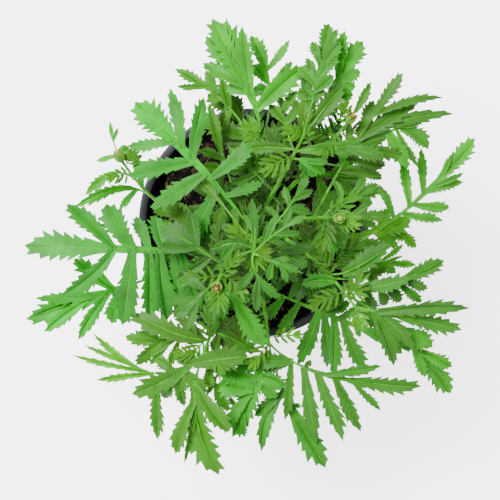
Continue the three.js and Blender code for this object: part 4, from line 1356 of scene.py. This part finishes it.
# %% A whole leaf
# INNER and OUTER set the painted shade: darker 30 mm from the middle of the plant, lighter 90 mm out.
INNER, OUTER = (30, 0.72), (90, 1.1)
TONE_LUCK = 0.1
RIB_FOOT, RIB_TIP = 0.6, 0.14
COARSE_RIB = dict(sides=0, steps=5)
END_BREADTH, SEEN_SIDE_BREADTH, WING_BREADTH = 1.4, 0.75, 0.46
WING_BELOW, WING_START, WING_LENGTH, WING_PAST = 0.14, 0.02, 0.1, 0.03
SLIM_BELOW = 0.3
LENGTH_STEPS = 101


def painted_light_by_place(place):
    """Painted light and shade for a blade by its distance, in millimetres, from the middle of the plant."""
    return float(np.interp(math.hypot(place[0], place[1]), *zip(INNER, OUTER)))


def rib_of(plan, start):
    if "bend" in plan:
        return start, plan["bend"], plan["tip"]
    return start, (start + plan["tip"]) / 2 + UP * plan["arch"], plan["tip"]


def length_of(rib):
    steps = np.diff(on_curve(rib, np.linspace(0, 1, LENGTH_STEPS)), axis=0)
    return float(np.linalg.norm(steps, axis=1).sum())


def grown_leaf(plan, start, seed, kind, end_kind, rib_scale=1.0):
    """The blades and the rib of one leaf. kind and end_kind are the leaflets at its sides and its tip."""
    rib = rib_of(plan, start)
    tone, warm = plan["tone"], plan["warm"]
    if "blades" in plan:
        leaflets, end = seen_leaflets(plan, rib, seed)
        side_breadth, end_breadth = plan["breadth"] * SEEN_SIDE_BREADTH, plan["breadth"] * SEEN_FULLNESS
    else:
        leaflets, end = paired_leaflets(plan, rib, length_of(rib), seed)
        side_breadth = plan["breadth"] * FULLNESS
        end_breadth = side_breadth * END_BREADTH
    blades = []
    for i, (share, curve, breadth) in enumerate(leaflets):
        # Painted shade: shade darkens the side leaflets, and each blade gets painted light and shade by its
        # place.
        own_tone = tone * plan.get("shade", 1) * painted_light_by_place(on_curve(curve, 0.5))
        own_tone += TONE_LUCK * draw(seed + 3, i)
        slim = breadth < SLIM_BELOW * np.linalg.norm(curve[2] - curve[0])
        choice = leaflets_of["slim" if slim and kind == "side" else kind]
        blades.append(laid(choice[(seed + i) % len(choice)], curve, breadth, own_tone, warm, 31 * seed + i))
    # The leaflet at the tip gets the painted light and shade of its place too.
    tip_tone = tone * painted_light_by_place(rib[2])
    choice = leaflets_of[end_kind]
    blades.append(laid(choice[seed % len(choice)], part_of(rib, end, 1), end_breadth, tip_tone, warm, seed))
    if leaflets:
        wing_foot = max(min(share for share, _, _ in leaflets) - WING_BELOW, WING_START)
        wing = part_of(rib, wing_foot, max(end, wing_foot + WING_LENGTH) + WING_PAST)
        blades.append(laid(rib_wing, wing, side_breadth * WING_BREADTH, tip_tone, warm, 0))
    detail = {} if rib_scale == 1 else COARSE_RIB
    return blades, tube(rib, RIB_FOOT * rib_scale, RIB_TIP * rib_scale, **detail)


# %% [markdown]
# ## Young leaves
# Young leaves crowd the tip of each stem, and a few more stand along it. They are small and ferny, and
# turn round the stem by the golden angle, as the leaves of many plants do. The solid model leaves them
# out. A bushy plant still has open spots where the soil shows, and no young leaf grows over those.

# %% Open spots
OPEN_SPOTS = (
    (187, 141, 9), (209, 149, 11), (231, 144, 10), (241, 159, 9), (165, 184, 15), (186, 206, 13),
    (159, 206, 9), (149, 217, 8), (298, 180, 9), (315, 183, 7), (332, 178, 8), (308, 216, 9),
    (298, 243, 8), (270, 276, 8), (278, 318, 14), (302, 319, 10), (285, 208, 6), (279, 350, 10),
)
SPOT_MARGIN = 3
LEAF_CHECKS = (0.55, 0.8, 1)


def hides_soil(start, tip):
    """Whether a young leaf would grow over an open spot: across, down and radius, as the camera sees it."""
    for share in LEAF_CHECKS:
        across, down = in_picture(start + (tip - start) * share)
        if any(math.hypot(across - x, down - y) < radius + SPOT_MARGIN for x, y, radius in OPEN_SPOTS):
            return True
    return False


# %% [markdown]
# Along a stem, the young leaves grow longer, lie flatter and turn darker and less yellow with their
# age. So each measure is the youngest leaf's, plus a step for each leaf after it, plus some luck.

# %% Plans for the young leaves
GOLDEN_ANGLE = math.radians(137.5)
YOUNG_LEAVES = {
    "left_shoot": 3, "low_left_shoot": 5, "low_right_shoot": 6, "back_right_shoot": 7, "front_left_shoot": 8,
}
YOUNG_ELSEWHERE = 13
CROWD, CROWD_AT, CROWD_STEP = 5, 0.97, 0.05
SPARSE_AT, SPARSE_STEP = 0.75, 0.085
YOUNG_HIGHEST = 203
YOUNG_OUT, YOUNG_UP, YOUNG_REACH = (13, 1.7, 4, 0), (8, -0.7, 5, 7), (6.5, 0.35, 1.5, 13)
LIGHT_LEAVES, LIGHT_TONE, DARK_TONE, YOUNG_TONE_LUCK = 4, 0.6, 0.15, 0.2
YOUNG_WARM, WARM_STEP, LEAST_WARM, WARM_LUCK = 0.9, 0.07, 0.35, 0.25
YOUNG_BREADTH, BREADTH_STEP = 1.6, 0.05
YOUNG_HABIT = dict(arch=3, pairs=4, spread=0.75, gap=0.6)


def young_measure(i, seed, youngest, step, luck, own_seed):
    return youngest + step * i + luck * draw(seed + own_seed, i)


def young_leaves(curve, seed, count):
    """Plans for the small leaves of a stem: a crowd at its tip and some along it."""
    plans = []
    for i in range(count):
        at = CROWD_AT - CROWD_STEP * i if i < CROWD else SPARSE_AT - SPARSE_STEP * (i - CROWD)
        start = on_curve(curve, at)
        turn = GOLDEN_ANGLE * i + seed
        out = young_measure(i, seed, *YOUNG_OUT)
        lift = young_measure(i, seed, *YOUNG_UP)
        tip = start + np.array((math.cos(turn) * out, math.sin(turn) * out, lift))
        tip[2] = min(tip[2], YOUNG_HIGHEST)
        if hides_soil(start, tip):
            continue
        tone = (LIGHT_TONE if i < LIGHT_LEAVES else DARK_TONE) + YOUNG_TONE_LUCK * draw(seed + 9, i)
        warm = max(YOUNG_WARM - WARM_STEP * i, LEAST_WARM) + WARM_LUCK * draw(seed + 11, i)
        reach, breadth = young_measure(i, seed, *YOUNG_REACH), YOUNG_BREADTH + BREADTH_STEP * i
        plans.append(leaf(at, tip, reach=reach, breadth=breadth, tone=tone, warm=warm, **YOUNG_HABIT))
    return plans


# %% [markdown]
# ## Growing the shoots
# Each stem's leaves are laid, joined and given a thickness of about a third of a millimetre, and then
# joined with the stem and the ribs into one piece, as they grew. A leaf's own number feeds its chances,
# so no two leaves are alike.

# %% Grow them all
STEM_RADII, SHOOT_RADII = (2.6, 0.9), (1.35, 0.65)
STEM_SIDES = 4
BLADE_THICKNESS = 0.35
SLIM_LEAF = 5.5
LEAF_SEEDS, YOUNG_SEEDS, YOUNG_SEED = 10, 20, 200
YOUNG_RIB = 0.45

for number, (name, curve) in enumerate(curves.items()):
    radii = STEM_RADII if name == "main_stem" else SHOOT_RADII
    blades, stalks = [], [tube(curve, *radii, sides=STEM_SIDES)]
    grown = []
    for i, plan in enumerate(LEAVES[name]):
        kinds = ("side", "end") if plan["breadth"] > SLIM_LEAF else ("slim", "slim")
        grown.append(grown_leaf(plan, on_curve(curve, plan["at"]), LEAF_SEEDS * number + i, *kinds))
    for i, plan in enumerate(young_leaves(curve, number, YOUNG_LEAVES.get(name, YOUNG_ELSEWHERE))):
        seed = YOUNG_SEED + YOUNG_SEEDS * number + i
        grown.append(grown_leaf(plan, on_curve(curve, plan["at"]), seed, "young", "young", YOUNG_RIB))
    for new_blades, rib in grown:
        blades += new_blades
        stalks.append(rib)
    foliage = joined(*blades)
    modified(foliage, "SOLIDIFY", thickness=BLADE_THICKNESS * MM, offset=0)
    joined(foliage, *stalks)
    named(foliage, name.replace("shoot", "spray").replace("main_stem", "main_spray"))
    smoothed(foliage, degrees=40)
    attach(foliage, "root")
    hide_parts(name)
    print(foliage.name, len(foliage.data.polygons), "faces")
remove(*masters)

# %% [markdown]
# ## Buds
# A bud stands on the end of its shoot: a ribbed green cup with pointed lobes, and the tips of the
# furled petals in its mouth. The cup is turned like the pot and then ribbed by moving its points in and
# out with the angle. The petals are narrow curved blades in three rings.

# %% One cup
BUD_LENGTH, BUD_MOUTH, BUD_CUP, BUD_RIBS = 6.2, 1.9, 2.2, 5
CUP_SWELL, SWELL_HEIGHT, CUP_FOOT = 0.07, 1.5, 2
LOBE_HEIGHT, LOBE_DEPTH, MOUTH_WALL = 0.6, 0.3, 0.15
CUP_SEGMENTS = 40
cup_outline = [
    (0.9, 0), (1.35, 0.35), (1.9, 1.1), (2.25, 2.0), (2.45, 3.2), (2.4, 4.4), (2.3, 5.4), (2.2, BUD_LENGTH),
    (BUD_MOUTH, BUD_LENGTH - 0.1), (BUD_MOUTH - 0.1, 5.0), (BUD_MOUTH - 0.1, BUD_LENGTH - BUD_CUP),
]
cup = turned("cup", cup_outline, CUP_SEGMENTS, cup_material)
for vertex in cup.data.vertices:
    angle = math.atan2(vertex.co.y, vertex.co.x)
    height = vertex.co.z / MM
    rib = math.cos(BUD_RIBS * angle)
    outside = math.hypot(vertex.co.x, vertex.co.y) > (BUD_MOUTH + MOUTH_WALL) * MM
    if outside or height < CUP_FOOT:
        swell = 1 + CUP_SWELL * rib * min(1, height / SWELL_HEIGHT)
        vertex.co.x *= swell
        vertex.co.y *= swell
    if height > BUD_LENGTH - LOBE_DEPTH:
        vertex.co.z += LOBE_HEIGHT * rib * MM
smoothed(cup, degrees=50)
print("cup:", len(cup.data.polygons), "faces")

# %% One ring of petals after another
PETAL_RINGS = ((1.5, 7, 3.2, 0.75), (1.0, 5, 3.35, 0.8), (0.45, 3, 3.4, 0.7))
PETAL_FOOT = BUD_LENGTH - BUD_CUP + 0.3
PETAL_TAPER, PETAL_WIDTH, PETAL_THICKNESS, RING_SHIFT = 0.75, 2.2, 0.18, 0.4

petal_grid = dict(x_subdivisions=6, y_subdivisions=4, size=1, location=(0.5, 0, 0))
petal = primitive(bpy.ops.mesh.primitive_grid_add, **petal_grid)
petal.data.materials.append(petal_material)


def furled(radius, height, turn, width, closing):
    """A petal that stands on a ring and closes over its middle."""
    blade = copy_of(petal)
    for vertex in blade.data.vertices:
        up, side = vertex.co.x, vertex.co.y
        own_radius = radius * (1 - closing * up**2)
        angle = turn + side * width * (1 - PETAL_TAPER * up**3)
        x, y = own_radius * math.cos(angle), own_radius * math.sin(angle)
        vertex.co = Vector((x, y, PETAL_FOOT + height * up)) * MM
    return blade


petals = []
for ring, (radius, count, height, closing) in enumerate(PETAL_RINGS):
    for i in range(count):
        turn = 2 * math.pi * (i + RING_SHIFT * ring) / count
        petals.append(furled(radius, height, turn, PETAL_WIDTH * math.pi / count, closing))
tuft = joined(*petals)
modified(tuft, "SOLIDIFY", thickness=PETAL_THICKNESS * MM)
bpy.ops.object.shade_smooth()
remove(petal)
print("tuft:", len(tuft.data.polygons), "faces")

# %% Buds on their shoots
BUD_LIFT = 0.3
BUDS = {
    "centre_left_bud": ("centre_left_shoot", 1.0),
    "right_bud": ("right_shoot", 0.0),
    "back_right_bud": ("back_right_shoot", 0.8),
    "left_bud": ("left_shoot", 0.35),
}
for name, (stem, ripe) in BUDS.items():
    course = Vector(course_of(curves[stem], 1.0))
    spot = Vector(on_curve(curves[stem], 1.0)) + course * BUD_LIFT
    upright = Vector((0, 0, 1)).rotation_difference(course).to_matrix().to_4x4()
    for master, ending, slot in ((cup, "cup", "bud_green"), (tuft, "petals", "petal")):
        piece = copy_of(master)
        named(piece, f"{name}_{ending}_fine")
        piece.data.transform(Matrix.Translation(spot * MM) @ upright)
        ripeness = piece.data.attributes.new("ripe", "FLOAT", "POINT")
        ripeness.data.foreach_set("value", np.full(len(piece.data.vertices), ripe))
        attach(piece, "root")
        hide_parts(f"{name}_{ending}")
remove(cup, tuft)
print("buds:", list(BUDS))
